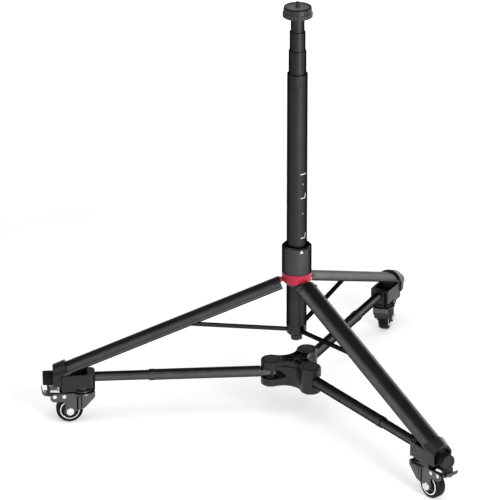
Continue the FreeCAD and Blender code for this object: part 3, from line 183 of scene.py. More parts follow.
def finish(name, colour, rough, metal=0.0, specular=0.5, grain=700, bump=0.15, spread=0.05,
           vary=0.18, edge_wear_and_highlight=None, wear_and_highlight_share=0.5, stretch=(1, 1, 1), soften=0.35, rim=1.0):
    """Mottled colour, uneven gloss, fine grain, rounded edges, and lighter edges in patches that
    are partly wear and partly a painted highlight.
    """
    cloud_scale, gloss_scale, patch_scale = 22, 60, 130
    material, tree, shader = graph(name)
    where = add(tree, "TexCoord").outputs["Object"]
    cloud = noise(tree, where, cloud_scale, 4)
    fine = noise(tree, where, grain, 3, 0.6, stretch)
    body = mixed(tree, ranged(tree, cloud, 0.0, 1.0), shade(colour, 1 - vary),
                 shade(colour, 1 + vary))
    body = mixed(tree, ranged(tree, fine, 0.0, 0.35), body, shade(colour, 1 + vary * 2.2))
    smooth = add(tree, "Bevel", samples=4, Radius=soften * MM)
    # Edge mask from the rounded normal, broken into patches: the lighter colour there is partly
    # wear and partly a painted highlight along edges
    if edge_wear_and_highlight:
        flat = add(tree, "NewGeometry").outputs["Normal"]
        turn = add(tree, "VectorMath", operation="DOT_PRODUCT")
        tree.links.new(smooth.outputs[0], turn.inputs[0])
        tree.links.new(flat, turn.inputs[1])
        edge = ranged(tree, turn.outputs["Value"], 1.0, 0.0, 0.86, 0.985)
        patches = ranged(tree, noise(tree, where, patch_scale, 5), 0.0, wear_and_highlight_share, 0.42, 0.62)
        body = mixed(tree, times(tree, edge, patches), body, edge_wear_and_highlight)
    tree.links.new(body, shader.inputs["Base Color"])
    gloss = ranged(tree, noise(tree, where, gloss_scale, 5, 0.6, stretch), rough - spread,
                   rough + spread)
    tree.links.new(gloss, shader.inputs["Roughness"])
    relief = add(tree, "Bump", Strength=bump, Distance=0.0002)
    tree.links.new(fine, relief.inputs["Height"])
    tree.links.new(smooth.outputs[0], relief.inputs["Normal"])
    tree.links.new(relief.outputs[0], shader.inputs["Normal"])
    shader.inputs["Metallic"].default_value = metal
    shader.inputs["Specular IOR Level"].default_value = specular
    shader.inputs["Specular Tint"].default_value = (rim, rim, rim, 1)
    return material


# Lighter edge colour for the black metals: bare metal where worn, and partly a painted highlight
BARE_EDGE_AND_HIGHLIGHT = (0.16, 0.16, 0.165)
LENGTHWISE = (1, 1, 0.03)
FINISHES = {
    "hub_black": finish("hub_black", (0.007, 0.007, 0.0075), 0.36, specular=0.42, grain=900,
                        bump=0.3, edge_wear_and_highlight=(0.05, 0.05, 0.052)),
    "moulded_black": finish("moulded_black", (0.011, 0.011, 0.0115), 0.36, specular=0.4, grain=900,
                            bump=0.25, edge_wear_and_highlight=(0.14, 0.14, 0.14)),
    "tube_black": finish("tube_black", (0.036, 0.036, 0.037), 0.34, metal=1.0, rim=0.0,
                         stretch=LENGTHWISE, edge_wear_and_highlight=BARE_EDGE_AND_HIGHLIGHT, wear_and_highlight_share=0.4),
    "tube_satin": finish("tube_satin", (0.09, 0.09, 0.092), 0.34, metal=1.0, rim=0.0,
                         stretch=LENGTHWISE, edge_wear_and_highlight=BARE_EDGE_AND_HIGHLIGHT, wear_and_highlight_share=0.6),
    "leg_black": finish("leg_black", (0.085, 0.085, 0.087), 0.3, metal=1.0, rim=0.5,
                        grain=1100, bump=0.2, edge_wear_and_highlight=BARE_EDGE_AND_HIGHLIGHT, wear_and_highlight_share=0.4),
    "rod_black": finish("rod_black", (0.03, 0.03, 0.031), 0.42, metal=1.0, rim=0.0,
                        edge_wear_and_highlight=BARE_EDGE_AND_HIGHLIGHT, wear_and_highlight_share=0.5),
    "collar_grey": finish("collar_grey", (0.062, 0.062, 0.064), 0.3, metal=1.0, rim=0.0,
                          stretch=LENGTHWISE, edge_wear_and_highlight=(0.2, 0.2, 0.21)),
    "hub_red": finish("hub_red", (0.5, 0.02, 0.055), 0.32, metal=0.4, stretch=LENGTHWISE,
                      edge_wear_and_highlight=(0.75, 0.3, 0.33), wear_and_highlight_share=0.4),
    "head_black": finish("head_black", (0.02, 0.02, 0.0215), 0.42, grain=1000, bump=0.4,
                         edge_wear_and_highlight=(0.13, 0.13, 0.13)),
    "knob_black": finish("knob_black", (0.009, 0.009, 0.0095), 0.36, specular=0.32, grain=1000,
                         bump=0.2, edge_wear_and_highlight=(0.16, 0.16, 0.16), wear_and_highlight_share=0.7, soften=0.1),
    "fork_grey": finish("fork_grey", (0.12, 0.12, 0.124), 0.34, metal=0.9, rim=0.1, grain=800,
                        bump=0.2, edge_wear_and_highlight=(0.5, 0.5, 0.5), wear_and_highlight_share=0.7),
    "pedal_black": finish("pedal_black", (0.02, 0.02, 0.021), 0.34, metal=0.1, bump=0.2,
                          edge_wear_and_highlight=(0.3, 0.3, 0.3), wear_and_highlight_share=0.7),
    "wheel_core": finish("wheel_core", (0.012, 0.012, 0.013), 0.45, bump=0.3,
                         edge_wear_and_highlight=(0.08, 0.08, 0.08)),
    "tyre": finish("tyre", (0.003, 0.003, 0.003), 0.5, specular=0.14, grain=1300, bump=0.4,
                   spread=0.1, vary=0.35, edge_wear_and_highlight=(0.03, 0.03, 0.03)),
    "foot_rubber": finish("foot_rubber", (0.012, 0.012, 0.012), 0.6, grain=1300, bump=0.5,
                          vary=0.3, edge_wear_and_highlight=(0.05, 0.05, 0.05)),
    "zinc": finish("zinc", (0.78, 0.78, 0.77), 0.3, metal=1.0, grain=1500, bump=0.1, vary=0.1,
                   edge_wear_and_highlight=(0.9, 0.9, 0.89)),
}
CHROME = finish("bright_ring", (0.85, 0.85, 0.86), 0.14, metal=1.0, grain=1500, bump=0.04,
                vary=0.05, spread=0.04)
STEEL = finish("screw_steel", (0.34, 0.34, 0.35), 0.3, metal=1.0, grain=1500, bump=0.1)
PLATED = finish("plated_white", (0.86, 0.86, 0.85), 0.4, metal=0.3, grain=1500, bump=0.1,
                vary=0.05)
STUD = finish("stud_black", (0.07, 0.07, 0.072), 0.24, metal=1.0, rim=0.3, grain=1500, bump=0.1,
              edge_wear_and_highlight=(0.6, 0.6, 0.6))
PAD = finish("pad_rubber", (0.11, 0.11, 0.112), 0.5, grain=1300, bump=0.4, vary=0.2)
MARK = finish("mark_white", (0.85, 0.85, 0.83), 0.5, grain=1500, bump=0.2, vary=0.06)
# Near-black, barely reflecting material for painted shade in seams, grooves, gaps, recesses and
# corners
SHADOW = finish("seam_black", (0.004, 0.004, 0.004), 0.7, specular=0.04, bump=0.1, vary=0.3)

# Families that the photograph shows in another finish than their slot's
PAINTED = {"arm_outer": "tube_satin", "caster_plate": "fork_grey"}
for entry in frame["record"]["subparts"]:
    family = entry["node"].rpartition("_")[0]
    chosen = PAINTED.get(family, entry["material_slot"])
    for holder in frame["nodes"][entry["node"]].material_slots:
        holder.material = FINISHES[chosen]


# Mesh helpers: every piece is drawn in its place, in the drawing frame

MERGE = 1e-7
BAR_FACES = ((0, 1, 2, 3), (7, 6, 5, 4), (0, 4, 5, 1), (1, 5, 6, 2), (2, 6, 7, 3), (3, 7, 4, 0))


def make(name, verts, faces, material, body, place, sharp=38, bevel=0.0):
    """Piece from points in millimetres. The material is a slot's name or a material."""
    mesh = bpy.data.meshes.new(name)
    mesh.from_pydata([place @ Vector(v) * MM for v in verts], [], faces)
    shape = bmesh.new()
    shape.from_mesh(mesh)
    bmesh.ops.remove_doubles(shape, verts=shape.verts, dist=MERGE)
    bmesh.ops.recalc_face_normals(shape, faces=shape.faces)
    shape.to_mesh(mesh)
    shape.free()
    mesh.shade_smooth()
    mesh.set_sharp_from_angle(angle=math.radians(sharp))
    made = bpy.data.objects.new(name, mesh)
    bpy.context.scene.collection.objects.link(made)
    mesh.materials.append(FINISHES.get(material, material))
    if bevel:
        rounded = made.modifiers.new("edges", "BEVEL")
        rounded.width = bevel * MM
        rounded.segments = 2
        rounded.limit_method = "ANGLE"
        rounded.harden_normals = True
    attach(made, body)
    return made


def skin(name, rings, material, body, place, closed=False, **more):
    """Rings of points joined one to the next, capped at both ends or closed on themselves."""
    count = len(rings[0])
    verts = [point for ring in rings for point in ring]
    faces = []
    steps = len(rings) if closed else len(rings) - 1
    for row in range(steps):
        here, there = row * count, (row + 1) % len(rings) * count
        for index in range(count):
            after = (index + 1) % count
            faces.append((here + index, here + after, there + after, there + index))
    if not closed:
        faces.append(tuple(range(count)))
        faces.append(tuple(range(len(verts) - count, len(verts))))
    return make(name, verts, faces, material, body, place, **more)


def bars(name, ends, material, body, place):
    """Separate bars in one mesh; each has the four corners of one end, then of the other."""
    verts, faces = [], []
    for corners in ends:
        start = len(verts)
        verts += corners
        faces += [tuple(start + index for index in face) for face in BAR_FACES]
    return make(name, verts, faces, material, body, place)


def circle_points(radius, height, steps):
    points = []
    for index in range(steps):
        angle = math.tau * index / steps
        points.append((radius * math.cos(angle), radius * math.sin(angle), height))
    return points


def arc_ring(degrees, section):
    """A section of (radius, height) points, stood at an angle."""
    turn = math.radians(degrees)
    return [(radius * math.cos(turn), radius * math.sin(turn), height)
            for radius, height in section]


def lathe(name, profile, material, body, place, steps=48, closed=False, **more):
    """(radius, height) points turned round local Z."""
    rings = [circle_points(max(radius, 1e-3), height, steps) for radius, height in profile]
    return skin(name, rings, material, body, place, closed=closed, **more)


def prism(name, outline, low, high, material, body, place, **more):
    """An outline in local X and Z, carried along Y."""
    rings = [[(x, y, z) for x, z in outline] for y in (low, high)]
    return skin(name, rings, material, body, place, **more)


def ribbon(path, thick):
    """Outline of a strip that follows a path, thick to its left."""
    far = []
    for index, (x, z) in enumerate(path):
        before = path[max(index - 1, 0)]
        after = path[min(index + 1, len(path) - 1)]
        first = Vector((x - before[0], z - before[1]))
        last = Vector((after[0] - x, after[1] - z))
        first = first.normalized() if first.length else last.normalized()
        last = last.normalized() if last.length else first
        way = (first + last).normalized()
        stretch = thick / max(way.dot(first), 0.4)
        far.append((x - way.y * stretch, z + way.x * stretch))
    return list(path) + far[::-1]


def dome(radius, rise):
    """Profile of a rivet head that stands on a face."""
    steps = 6
    ball = (radius * radius + rise * rise) / (2 * rise)
    profile = [(radius, 0.0)]
    for index in range(steps + 1):
        r = radius * (1 - index / steps)
        profile.append((r, math.sqrt(max(ball * ball - r * r, 0)) - ball + rise))
    return profile


def nut(name, across, high, material, body, place):
    """Hexagon with chamfered corners, standing on local Z = 0."""
    steps, sixth = 48, math.pi / 3
    half, chamfer_start, chamfer_slope, top_share = across / 2, 0.96, 0.55, 0.93
    low_ring, edge_ring, top_ring = [], [], []
    for index in range(steps):
        angle = math.tau * index / steps
        off = (angle + sixth / 2) % sixth - sixth / 2
        out = half / math.cos(off)
        drop = (out - half * chamfer_start) * chamfer_slope
        way = (math.cos(angle), math.sin(angle))
        low_ring.append((out * way[0], out * way[1], 0))
        edge_ring.append((out * way[0], out * way[1], high - drop))
        top_ring.append((half * top_share * way[0], half * top_share * way[1], high))
    return skin(name, [low_ring, edge_ring, top_ring], material, body, place, sharp=24)


# Head and column

def threaded_stud():
    """Quarter inch screw: a real helix under a chamfered tip."""
    bottom, top, pitch = 707.6, 717.4, 1.27
    core, depth, flank, tip = 2.55, 0.62, 2.4, 2.35
    steps, rows = 36, 64
    rings = []
    for row in range(rows + 1):
        height = bottom + (top - bottom) * row / rows
        ring = []
        for index in range(steps):
            angle = math.tau * index / steps
            phase = (height / pitch - index / steps) % 1.0
            radius = core + depth * min(1.0, flank * (1 - abs(2 * phase - 1)))
            radius = min(radius, tip + (top - height))
            ring.append((radius * math.cos(angle), radius * math.sin(angle), height))
        rings.append(ring)
    made = skin("stud_thread", rings, STUD, "mast_a", COLUMN, sharp=50)
    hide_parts("head_stud")


def head_pad():
    """Thin ribbed pad in the dish of the head."""
    under, groove, crest = 707.95, 708.2, 708.32
    pitch, last = 1.15, 17.4
    profile = [(3.4, under)]
    radius = 3.8
    while radius < last:
        profile += [(radius, crest), (radius + 0.75, crest), (radius + 0.9, groove),
                    (radius + 1.0, groove)]
        radius += pitch
    profile += [(17.9, 708.25), (18.0, under)]
    lathe("head_pad", profile, PAD, "mast_a", COLUMN, steps=72, closed=True)


def head_lines():
    """Painted shade: a dark line at the edge of the rim, and dark grip lines that carry the flutes
    of the band upwards.
    """
    lathe("head_rim_shade_line", [(21.4, 709.2), (21.4, 709.54), (21.75, 709.54), (22.06, 709.2),
                            (22.22, 707.9), (21.8, 707.9)],
          SHADOW, "mast_a", COLUMN, steps=72, closed=True)
    flutes, sunk, half = 30, 0.4, 0.45
    section = ((-sunk, -half), (-sunk, half), (0.0, half), (0.0, -half))
    lines = []
    for index in range(flutes):
        turn = turned("Z", index * 360 / flutes)
        way, side = turn @ Vector((1, 0, 0)), turn @ Vector((0, 1, 0))
        lines.append([way * (radius + rise) + side * wide + Vector((0, 0, height))
                      for radius, height in ((23.06, 700.1), (22.28, 707.4))
                      for rise, wide in section])
    bars("head_grip_shade_lines", lines, SHADOW, "mast_a", COLUMN)


def tube_mouths():
    """Near-black ring on each tube mouth: the bushing, with painted shade of the gap between the
    tubes.
    """
    for name, body, inner, outer, top in (("b", "mast_b", 11.12, 12.2, 668),
                                          ("c", "mast_c", 12.82, 13.7, 636.5),
                                          ("d", "column", 14.32, 15.95, 597.5)):
        lathe("mouth_bushing_shade_" + name, [(inner, top - 0.3), (inner, top + 0.22),
                                     (outer - 0.2, top + 0.22), (outer, top - 0.05)],
              SHADOW, body, COLUMN, steps=64, closed=True)


def painted_line(name, path, width):
    """A line on the thick tube: path of (angle, height), in degrees and millimetres."""
    sunk, lift, step = -0.05, 0.06, 0.7
    points = [(math.radians(angle) * MAIN_TUBE, height) for angle, height in path]
    dense = []
    for (a, b), (c, d) in zip(points, points[1:]):
        pieces = max(int(math.hypot(c - a, d - b) / step), 1)
        dense += [(a + (c - a) * i / pieces, b + (d - b) * i / pieces) for i in range(pieces)]
    dense.append(points[-1])
    left, right = [], []
    for index, (x, z) in enumerate(dense):
        before, after = dense[max(index - 1, 0)], dense[min(index + 1, len(dense) - 1)]
        way = Vector((after[0] - before[0], after[1] - before[1])).normalized()
        left.append((x - way.y * width / 2, z + way.x * width / 2))
        right.append((x + way.y * width / 2, z - way.x * width / 2))
    verts, faces = [], []
    for level in (sunk, lift):
        for border in (left, right):
            for x, z in border:
                angle = x / MAIN_TUBE
                verts.append(((MAIN_TUBE + level) * math.cos(angle),
                              (MAIN_TUBE + level) * math.sin(angle), z))
    count = len(dense)
    for index in range(count - 1):
        low_left, low_right = index, count + index
        top_left, top_right = count * 2 + index, count * 3 + index
        faces.append((top_left, top_right, top_right + 1, top_left + 1))
        faces.append((low_left, top_left, top_left + 1, low_left + 1))
        faces.append((low_right, low_right + 1, top_right + 1, top_right))
        faces.append((low_left, low_left + 1, low_right + 1, low_right))
    for index in (0, count - 1):
        faces.append((index, count + index, count * 3 + index, count * 2 + index))
    make(name, verts, faces, MARK, "column", COLUMN, sharp=60)


def scale_marks():
    """White height marks on the thick tube."""
    for name, path, width in (
            ("mark_high", [(-45.5, 429), (-7, 429)], 1.5),
            ("mark_mid", [(-43.5, 387.5), (-17, 387.7)], 1.4),
            ("mark_mid_up", [(-15, 387.2), (-10.5, 395.5)], 1.2),
            ("mark_low", [(-43.5, 318), (-16, 318.2)], 1.4),
            ("mark_low_up", [(-14, 317.8), (-8.5, 326)], 1.2),
            ("dot_high", [(-32.6, 411.7 - 0.4), (-26.6, 411.7 + 0.4)], 1.3),
            ("dot_low", [(-32.6, 360.6 - 0.4), (-26.6, 360.6 + 0.4)], 1.3)):
        painted_line(name, path, width)


def collar_arrow():
    """Small white triangle painted on the collar."""
    middle, foot, rise, half_foot, half_tip = -45.8, 294.4, 6.0, 7.0, 0.2
    rows, across = 8, 5
    verts, faces = [], []
    for level in (-0.05, 0.07):
        for row in range(rows + 1):
            share = row / rows
            half = half_foot * (1 - share) + half_tip
            for index in range(across):
                angle = math.radians(middle + half * (index / 2 - 1))
                out = COLLAR + level
                verts.append((out * math.cos(angle), out * math.sin(angle),
                              foot + rise * share))
    layer_count = (rows + 1) * across
    for start in (0, layer_count):
        for row in range(rows):
            for index in range(across - 1):
                at = start + row * across + index
                faces.append((at, at + 1, at + across + 1, at + across))
    last = across - 1
    rim = list(range(across)) + [row * across + last for row in range(1, rows + 1)]
    rim += [rows * across + index for index in range(last - 1, -1, -1)]
    rim += [row * across for row in range(rows - 1, 0, -1)]
    for index, at in enumerate(rim):
        after = rim[(index + 1) % len(rim)]
        faces.append((at, after, after + layer_count, at + layer_count))
    make("collar_arrow", verts, faces, MARK, "collar", COLUMN, sharp=60)


def column_details():
    threaded_stud()
    head_pad()
    head_lines()
    tube_mouths()
    scale_marks()
    collar_arrow()
    lathe("foot_ring", [(16.3, 161.3), (16.75, 161.4), (16.75, 162.2), (16.3, 162.3)],
          "tube_black", "column", COLUMN, steps=64, closed=True)


# Legs and brace rods

def leg_details(name):
    """Rivet heads at the hinge and at the brace rod, a painted shade line along the lower edge of
    the leg, pin of the slider.
    """
    leg = "leg_" + name
    for side, tag in both_sides(name):
        lathe("leg_rivet_" + tag, [(2.9, -3)] + dome(2.9, 1.1), "leg_black", "stand",
              sideways(station(name, HINGE_RADIUS, HINGE_HEIGHT), side * 15.7, side), steps=24)
        lathe("rod_rivet_" + tag, [(2.4, -0.4)] + dome(2.4, 0.8), "leg_black", leg,
              sideways(on_leg(name) @ moved(170.9, 0, -4.05), side * (LEG_SIDE + 0.05), side),
              steps=24)
        # Painted shade line along the lower edge of the leg's side
        low, high = layer(side, LEG_SIDE, LEG_SIDE + 0.14)
        prism("leg_shade_line_" + tag, [(-5, -7.4), (366, -7.4), (366, -5.9), (-5, -5.9)], low, high,
              SHADOW, leg, on_leg(name))
    lathe("slider_pin_" + name, [(0.2, -3.4), (1.35, -3.4), (1.35, 3.4), (0.2, 3.4)],
          STEEL, "column", sideways(station(name, 12.6, 151.5), 0, 1), steps=20)


# Dolly hub

def hub_wall(name):
    """Bead along a concave side with a painted shade line under it, and the flared end of the
    window beside it as a patch of painted shade.
    """
    place = station(name) @ moved(24.13, 41.79, 0)
    wall, steps = HUB_CONCAVE, 24
    turns = [-70 - 100 * index / steps for index in range(steps + 1)]
    bead = ((wall, 90.6), (27.75, 91.0), (27.6, 91.5), (27.75, 92.0), (wall, 92.4))
    skin("hub_bead_" + name, [arc_ring(turn, bead) for turn in turns], "hub_black", "dolly",
         place, sharp=60)
    # Painted shade line under the bead
    shade_band = ((wall, 89.2), (28.12, 89.2), (28.12, 90.6), (wall, 90.6))
    skin("hub_shade_line_" + name, [arc_ring(turn, shade_band) for turn in turns], SHADOW, "dolly", place)
    # Painted shade for the flared end of the window, lying on the wall's surface
    flare_shade = [arc_ring(turn, ((wall, low), (28.1, low), (28.1, high), (wall, high)))
             for turn, low, high in ((-69, 68.1, 83.9), (-76, 68.3, 83.2), (-84, 68.6, 81.6),
                                     (-92, 69.2, 79.0), (-99, 70.2, 75.6), (-103, 71.4, 73.2))]
    skin("window_flare_shade_" + name, flare_shade, SHADOW, "dolly", place)


def hub_details(name):
    """Painted shade line round the cap, and what the open storey shows: spacer, tongue, post,
    washers.
    """
    place = station(name, ARM_PIVOT_RADIUS)
    lathe("pivot_spacer_" + name, [(3.05, 68.1), (6.6, 68.1), (6.6, 69.4), (5.0, 69.6),
                                   (5.0, 71.0), (6.6, 71.2), (6.6, 72.2), (3.05, 72.2)],
          "collar_grey", "dolly", place, steps=36, closed=True)
    # Painted shade line round the cap
    lathe("cap_shade_line_" + name, [(12.6, 98.8), (12.6, 99.02), (13.9, 99.02), (13.9, 98.8)],
          SHADOW, "dolly", place, steps=64, closed=True)
    for tag, near, far in (("in", -10.3, -2.9), ("out", 1.1, 9.1)):
        prism("tongue_cheek_%s_%s" % (name, tag), [(near, 73.4), (far, 73.4), (far, 81.2),
                                                   (near, 81.2)],
              6.9, 7.25, "fork_grey", "dolly", place, bevel=0.1)
    prism("window_post_" + name, [(-2.6, 68.05), (0.7, 68.05), (0.7, 83.95), (-2.6, 83.95)],
          8.0, 11.0, "hub_black", "dolly", place, bevel=0.3)
    steps, first, sweep = 28, -36, 252
    washer = [(11 * math.cos(a), 11 * math.sin(a)) for a in
              (math.radians(first + sweep * i / steps) for i in range(steps + 1))]
    skin("window_washer_" + name, [[(x, y, z) for x, y in washer] for z in (69.3, 70.3)],
         "fork_grey", "dolly", place)
    hub_wall(name)
    lathe("pivot_washer_" + name, [(3.05, 81.8), (6.4, 81.8), (6.4, 82.8), (3.05, 83.9)],
          "collar_grey", "dolly", place, steps=36, closed=True)


# End boxes, hoods and knobs

def box_details(name):
    """Painted shade: a dark strip where the hood meets the box, and dark bands on the rounded
    corners at the box's inner end.
    """
    body = "arm_" + name
    place = station(name)
    half, near, far, low, high = 16.62, 386.55, 387.25, 57.6, 85.3
    # Painted shade strip in the gap where the hood meets the box
    outline = [(-half, low), (half, low), (half, high), (-half, high)]
    skin("seam_" + name, [[(x, y, z) for y, z in outline] for x in (near, far)], SHADOW, body,
         place)
    # Painted shade bands on the rounded corners at the inner end
    middle_x, middle_y, bottom, top = 339.5, 8, 58.2, 85.6
    section = ((8.3, bottom), (8.56, bottom), (8.56, top), (8.3, top))
    for side, tag in both_sides(name):
        corner_shade = []
        for degrees in range(18, 58, 5):
            turn = math.radians(degrees) * side
            corner_shade.append([(middle_x - r * math.cos(turn), side * middle_y + r * math.sin(turn),
                            z) for r, z in section])
        skin("corner_shade_" + tag, corner_shade, SHADOW, body, place)


def knob_details(name):
    """Painted shade in the bottoms of the grip notches."""
    notches, bottom, shown, half = 30, 11.4, 11.58, 0.6
    section = ((bottom, -half), (bottom, half), (shown, half), (shown, -half))
    ends = []
    for index in range(notches):
        turn = turned("X", index * 360 / notches)
        way, side = turn @ Vector((0, 1, 0)), turn @ Vector((0, 0, 1))
        ends.append([Vector((x, 0, 0)) + way * rise + side * wide
                     for x in (401.4, 415.3) for rise, wide in section])
    bars("knob_notch_shade_" + name, ends, SHADOW, "knob_" + name, station(name, 0, KNOB_HEIGHT))


# Casters

def wheel_details(name):
    """Bright ring and six spokes on each face of a wheel."""
    body = "wheel_" + name
    spokes, first = 6, 15
    outline = [(6.2, 4.0), (12.6, 4.0), (13.4, 6.6), (11.6, 5.6), (7.4, 5.4), (6.2, 7.0)]
    for side, tag in both_sides(name):
        place = sideways(axle(name), 0, side)
        lathe("wheel_ring_" + tag, [(13.9, 7.2), (14.1, 8.55), (14.6, 8.95), (15.7, 8.95),
                                    (16.3, 8.5), (16.45, 7.2)],
              CHROME, body, place, steps=72, closed=True)
        for index in range(spokes):
            prism("spoke_%s_%d" % (tag, index), outline, -0.8, 0.8, "wheel_core", body,
                  place @ turned("Z", 360 // spokes * index + first), bevel=0.2)


def fold_details(tag, body, place, side):
    """Pressed fold down the front of a fork plate: a raised rib between two lines of painted
    shade.
    """
    face = side * FORK_SIDE
    rib = [(3.4, 26.4), (8.0, 24.8), (8.0, 47.6), (3.4, 47.6)]
    prism("fold_rib_" + tag, rib, face - side * 0.5, face + side * 0.9, "fork_grey", body,
          place, bevel=0.5)
    # Two painted shade lines beside the rib
    for at, wide, low in ((1.7, 1.6, 27.2), (8.2, 2.4, 24.8)):
        shade_strip = [(at, low), (at + wide, low - 0.4), (at + wide, 47.8), (at, 47.8)]
        prism("fold_shade_line_%s_%d" % (tag, int(at)), shade_strip, face - side * 0.4, face + side * 0.12,
              SHADOW, body, place)


def fork_details(name):
    """Axle nuts, rivet heads and folds on both plates, axle shank, ring under the raceway."""
    body = "fork_" + name
    place = caster(name)
    rivet = 3.3
    for side, tag in both_sides(name):
        out = sideways(axle(name), side * FORK_SIDE, side)
        made = nut("axle_nut_" + tag, 11.2, 3.6, PLATED, body, out @ moved(0, 0, 0.05))
        if side > 0:
            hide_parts("axle_" + name)
        for reach, height in ((PEDAL_PIN_REACH, PEDAL_PIN_HEIGHT), (46.6, 48.7)):
            at = sideways(place @ moved(reach, 0, height), side * FORK_SIDE, side)
            lathe("rivet_%s_%d" % (tag, int(reach)), [(rivet, -0.2)] + dome(rivet, 0.8),
                  PLATED, body, at, steps=32)
        fold_details(tag, body, place, side)
    lathe("axle_shank_" + name, [(0.01, -13), (3.0, -13), (3.0, 13), (0.01, 13)],
          STEEL, body, sideways(axle(name), 0, 1), steps=32)
    lathe("race_ring_" + name, [(12.55, 54.0), (14.6, 54.2), (15.2, 55.1), (14.9, 56.0),
                                (12.55, 56.6)], "fork_grey", body, place, steps=56, closed=True)


def pedal_details(name):
    """Pedal: cheeks on the pin, zinc shelf, and a thin curved tread that turns up at its end."""
    body = "brake_" + name
    place = caster(name)
    cheek = [(27.2, 47.2), (29, 44.6), (33, 44.4), (40, 46.6), (52, 48.8), (55.5, 50.4),
             (55.5, 57.4), (52.5, 59.6), (43, 59.6), (37.5, 54.8), (30, 52.3), (27.6, 50.6)]
    for side, tag in both_sides(name):
        low, high = layer(side, 9.1, 10.5)
        prism("pedal_cheek_" + tag, cheek, low, high, "pedal_black", body, place, bevel=0.25)
    prism("pedal_shelf_" + name, ribbon([(38.2, 54.7), (42.8, 59.7), (53.6, 59.7)], 0.7),
          -10.4, 10.4, "zinc", body, place, bevel=0.25)
    flange = [(38.6, 55.2), (43, 59.9), (53.6, 59.9), (53.6, 56.8), (45, 56.0)]
    for side, tag in both_sides(name):
        low, high = layer(side, 10.45, 10.85)
        prism("pedal_flange_" + tag, flange, low, high, "zinc", body, place)
    prism("pedal_back_" + name, ribbon([(53.9, 60.0), (56.2, 59.6), (56.6, 52.0)], 1.3),
          -10.2, 10.2, "pedal_black", body, place, bevel=0.3)
    tread_path = [(46, 48.9), (55, 49.6), (60, 50.2), (63.4, 51.3), (65.6, 53.2), (66.9, 56.0),
                  (67.5, 59.6)]
    tread = prism("pedal_tread_" + name, ribbon(tread_path, 1.3), -11.4, 11.4, "pedal_black",
                  body, place, bevel=0.35)
    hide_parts("brake_pedal_" + name)
    lining = [(x - 0.12, z + 1.34) for x, z in tread_path[1:4]]
    lining += [(64.3, 54.3), (65.35, 56.4), (65.95, 59.2)]
    prism("pedal_lining_" + name, ribbon(lining, 0.25), -10.6, 10.6, "zinc", body, place)
    prism("brake_shoe_" + name, [(35, 41.4), (39, 41.4), (40.4, 47.4), (35, 47.4)],
          -8.6, 8.6, "tyre", body, place, bevel=0.3)
    pin = place @ moved(PEDAL_PIN_REACH, 0, PEDAL_PIN_HEIGHT)
    lathe("pedal_pin_" + name, [(0.01, -13), (1.95, -13), (1.95, 13), (0.01, 13)],
          STEEL, body, sideways(pin, 0, 1), steps=24)


def race_details(name):
    """Grey lower edge of the fixed raceway, over the ring of the fork."""
    lathe("race_cap_" + name, [(12.9, 57.9), (14.9, 58.0), (15.2, 58.3), (15.2, 58.7),
                               (12.9, 58.8)], "collar_grey", "arm_" + name,
          station(name, CASTER_RADIUS), steps=56, closed=True)


column_details()
for label in ANGLES:
    leg_details(label)
    hub_details(label)
    box_details(label)
    knob_details(label)
    wheel_details(label)
    fork_details(label)
    pedal_details(label)
    race_details(label)


# Floor, light and camera

def floor_glow(tree):
    """Glow that lifts the floor to white for the camera, more so far away, and that mirrored
    rays see less of to the left."""
    path = add(tree, "LightPath")
    where = add(tree, "NewGeometry").outputs["Position"]
    across = add(tree, "SeparateXYZ")
    tree.links.new(where, across.inputs[0])
    away = add(tree, "VectorMath", operation="LENGTH")
    tree.links.new(where, away.inputs[0])
    far = ranged(tree, away.outputs["Value"], 0.4, 1.0, 0.9, 2.6)
    fall = ranged(tree, across.outputs["X"], 0.04, 0.48, -0.9, 0.6)
    both = add(tree, "Math", operation="MAXIMUM")
    tree.links.new(times(tree, path.outputs["Is Camera Ray"], far), both.inputs[0])
    tree.links.new(times(tree, path.outputs["Is Glossy Ray"], fall), both.inputs[1])
    return both.outputs[0]


def floor():
    """White paper that reaches past every view, a hair under the wheels."""
    size, under = 40.0, 0.0002
    mesh = bpy.data.meshes.new("floor")
    mesh.from_pydata([(-size, -size, 0), (size, -size, 0), (size, size, 0), (-size, size, 0)],
                     [], [(0, 1, 2, 3)])
    made = bpy.data.objects.new("floor", mesh)
    made.location.z = -under
    bpy.context.scene.collection.objects.link(made)
    material, tree, shader = graph("floor_paper")
    shader.inputs["Base Color"].default_value = (0.9, 0.9, 0.9, 1)
    shader.inputs["Roughness"].default_value = 0.9
    shader.inputs["Specular IOR Level"].default_value = 0.1
    shader.inputs["Emission Color"].default_value = (1, 1, 1, 1)
    tree.links.new(floor_glow(tree), shader.inputs["Emission Strength"])
    mesh.materials.append(material)


def softbox(name, azimuth, elevation, distance, wide, high, power, mirrored=True):
    """Area lamp, placed by its direction from the column, that aims at the column."""
    a, e = math.radians(azimuth), math.radians(elevation)
    aim = Vector((0, AXIS_Y * MM, 0.3))
    back = Vector((math.sin(a) * math.cos(e), -math.cos(a) * math.cos(e), math.sin(e)))
    light = bpy.data.lights.new(name, "AREA")
    light.shape = "RECTANGLE"
    light.size, light.size_y, light.energy = wide, high, power
    made = bpy.data.objects.new(name, light)
    made.location = aim + back * distance
    made.rotation_mode = "QUATERNION"
    made.rotation_quaternion = back.to_track_quat("Z", "Y")
    made.visible_camera = False
    made.visible_glossy = mirrored
    bpy.context.scene.collection.objects.link(made)


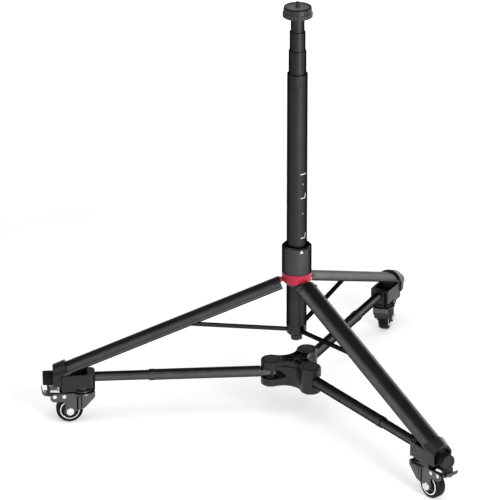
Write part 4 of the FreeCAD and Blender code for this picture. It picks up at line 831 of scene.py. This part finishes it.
def world():
    """White for the camera, a gradient for mirrored rays and a weak even light for the rest."""
    made = bpy.data.worlds.new("studio")
    bpy.context.scene.world = made
    made.use_nodes = True
    tree = made.node_tree
    back = tree.nodes["Background"]
    back.inputs["Color"].default_value = (1, 1, 1, 1)
    way = add(tree, "SeparateXYZ")
    tree.links.new(add(tree, "TexCoord").outputs["Generated"], way.inputs[0])
    sky = ranged(tree, way.outputs["Z"], 1.4, 0.12, 0.02, 0.34)
    path = add(tree, "LightPath")
    eye = add(tree, "Math", operation="MAXIMUM")
    tree.links.new(path.outputs["Is Camera Ray"], eye.inputs[0])
    tree.links.new(times(tree, path.outputs["Is Glossy Ray"], sky), eye.inputs[1])
    both = add(tree, "Math", operation="MAXIMUM")
    tree.links.new(eye.outputs[0], both.inputs[0])
    tree.links.new(ranged(tree, path.outputs["Is Diffuse Ray"], 0.0, 0.25, 0, 1), both.inputs[1])
    tree.links.new(both.outputs[0], back.inputs["Strength"])


def camera():
    """The photograph's view: a long lens from above and to the right."""
    eye_x, eye_y, eye_z = 2.40382, -5.14988 + AXIS_Y * MM, 2.72102
    data = bpy.data.cameras.new("camera")
    data.sensor_width = 36.0
    data.lens = 274.38
    data.clip_start, data.clip_end = 0.1, 200.0
    made = bpy.data.objects.new("camera", data)
    bpy.context.scene.collection.objects.link(made)
    back = Vector((0.3999872, -0.82792075, 0.39313799)).normalized()
    level = Vector((0, 0, 1)).cross(back).normalized()
    roll = math.radians(-0.07)
    up = back.cross(level)
    right = level * math.cos(roll) + up * math.sin(roll)
    up = up * math.cos(roll) - level * math.sin(roll)
    made.matrix_world = Matrix((
        (right.x, up.x, back.x, eye_x), (right.y, up.y, back.y, eye_y),
        (right.z, up.z, back.z, eye_z), (0, 0, 0, 1)))
    bpy.context.scene.camera = made


bpy.context.scene.view_settings.view_transform = "Standard"
floor()
world()
# Azimuth and elevation in degrees, distance, width and height in metres, power in watts
softbox("key_right", 58, 12, 2.6, 0.9, 2.6, 60)
softbox("fill_left", -55, 20, 2.8, 1.2, 2.2, 7)
softbox("back_right", 171, 6, 2.8, 1.6, 0.8, 11)
softbox("back_low", 150, 14, 2.8, 1.5, 1.3, 10)
softbox("front_wide", -20, 48, 2.6, 3.0, 1.5, 12)
softbox("top", 20, 80, 2.6, 1.6, 1.6, 18, mirrored=False)
camera()
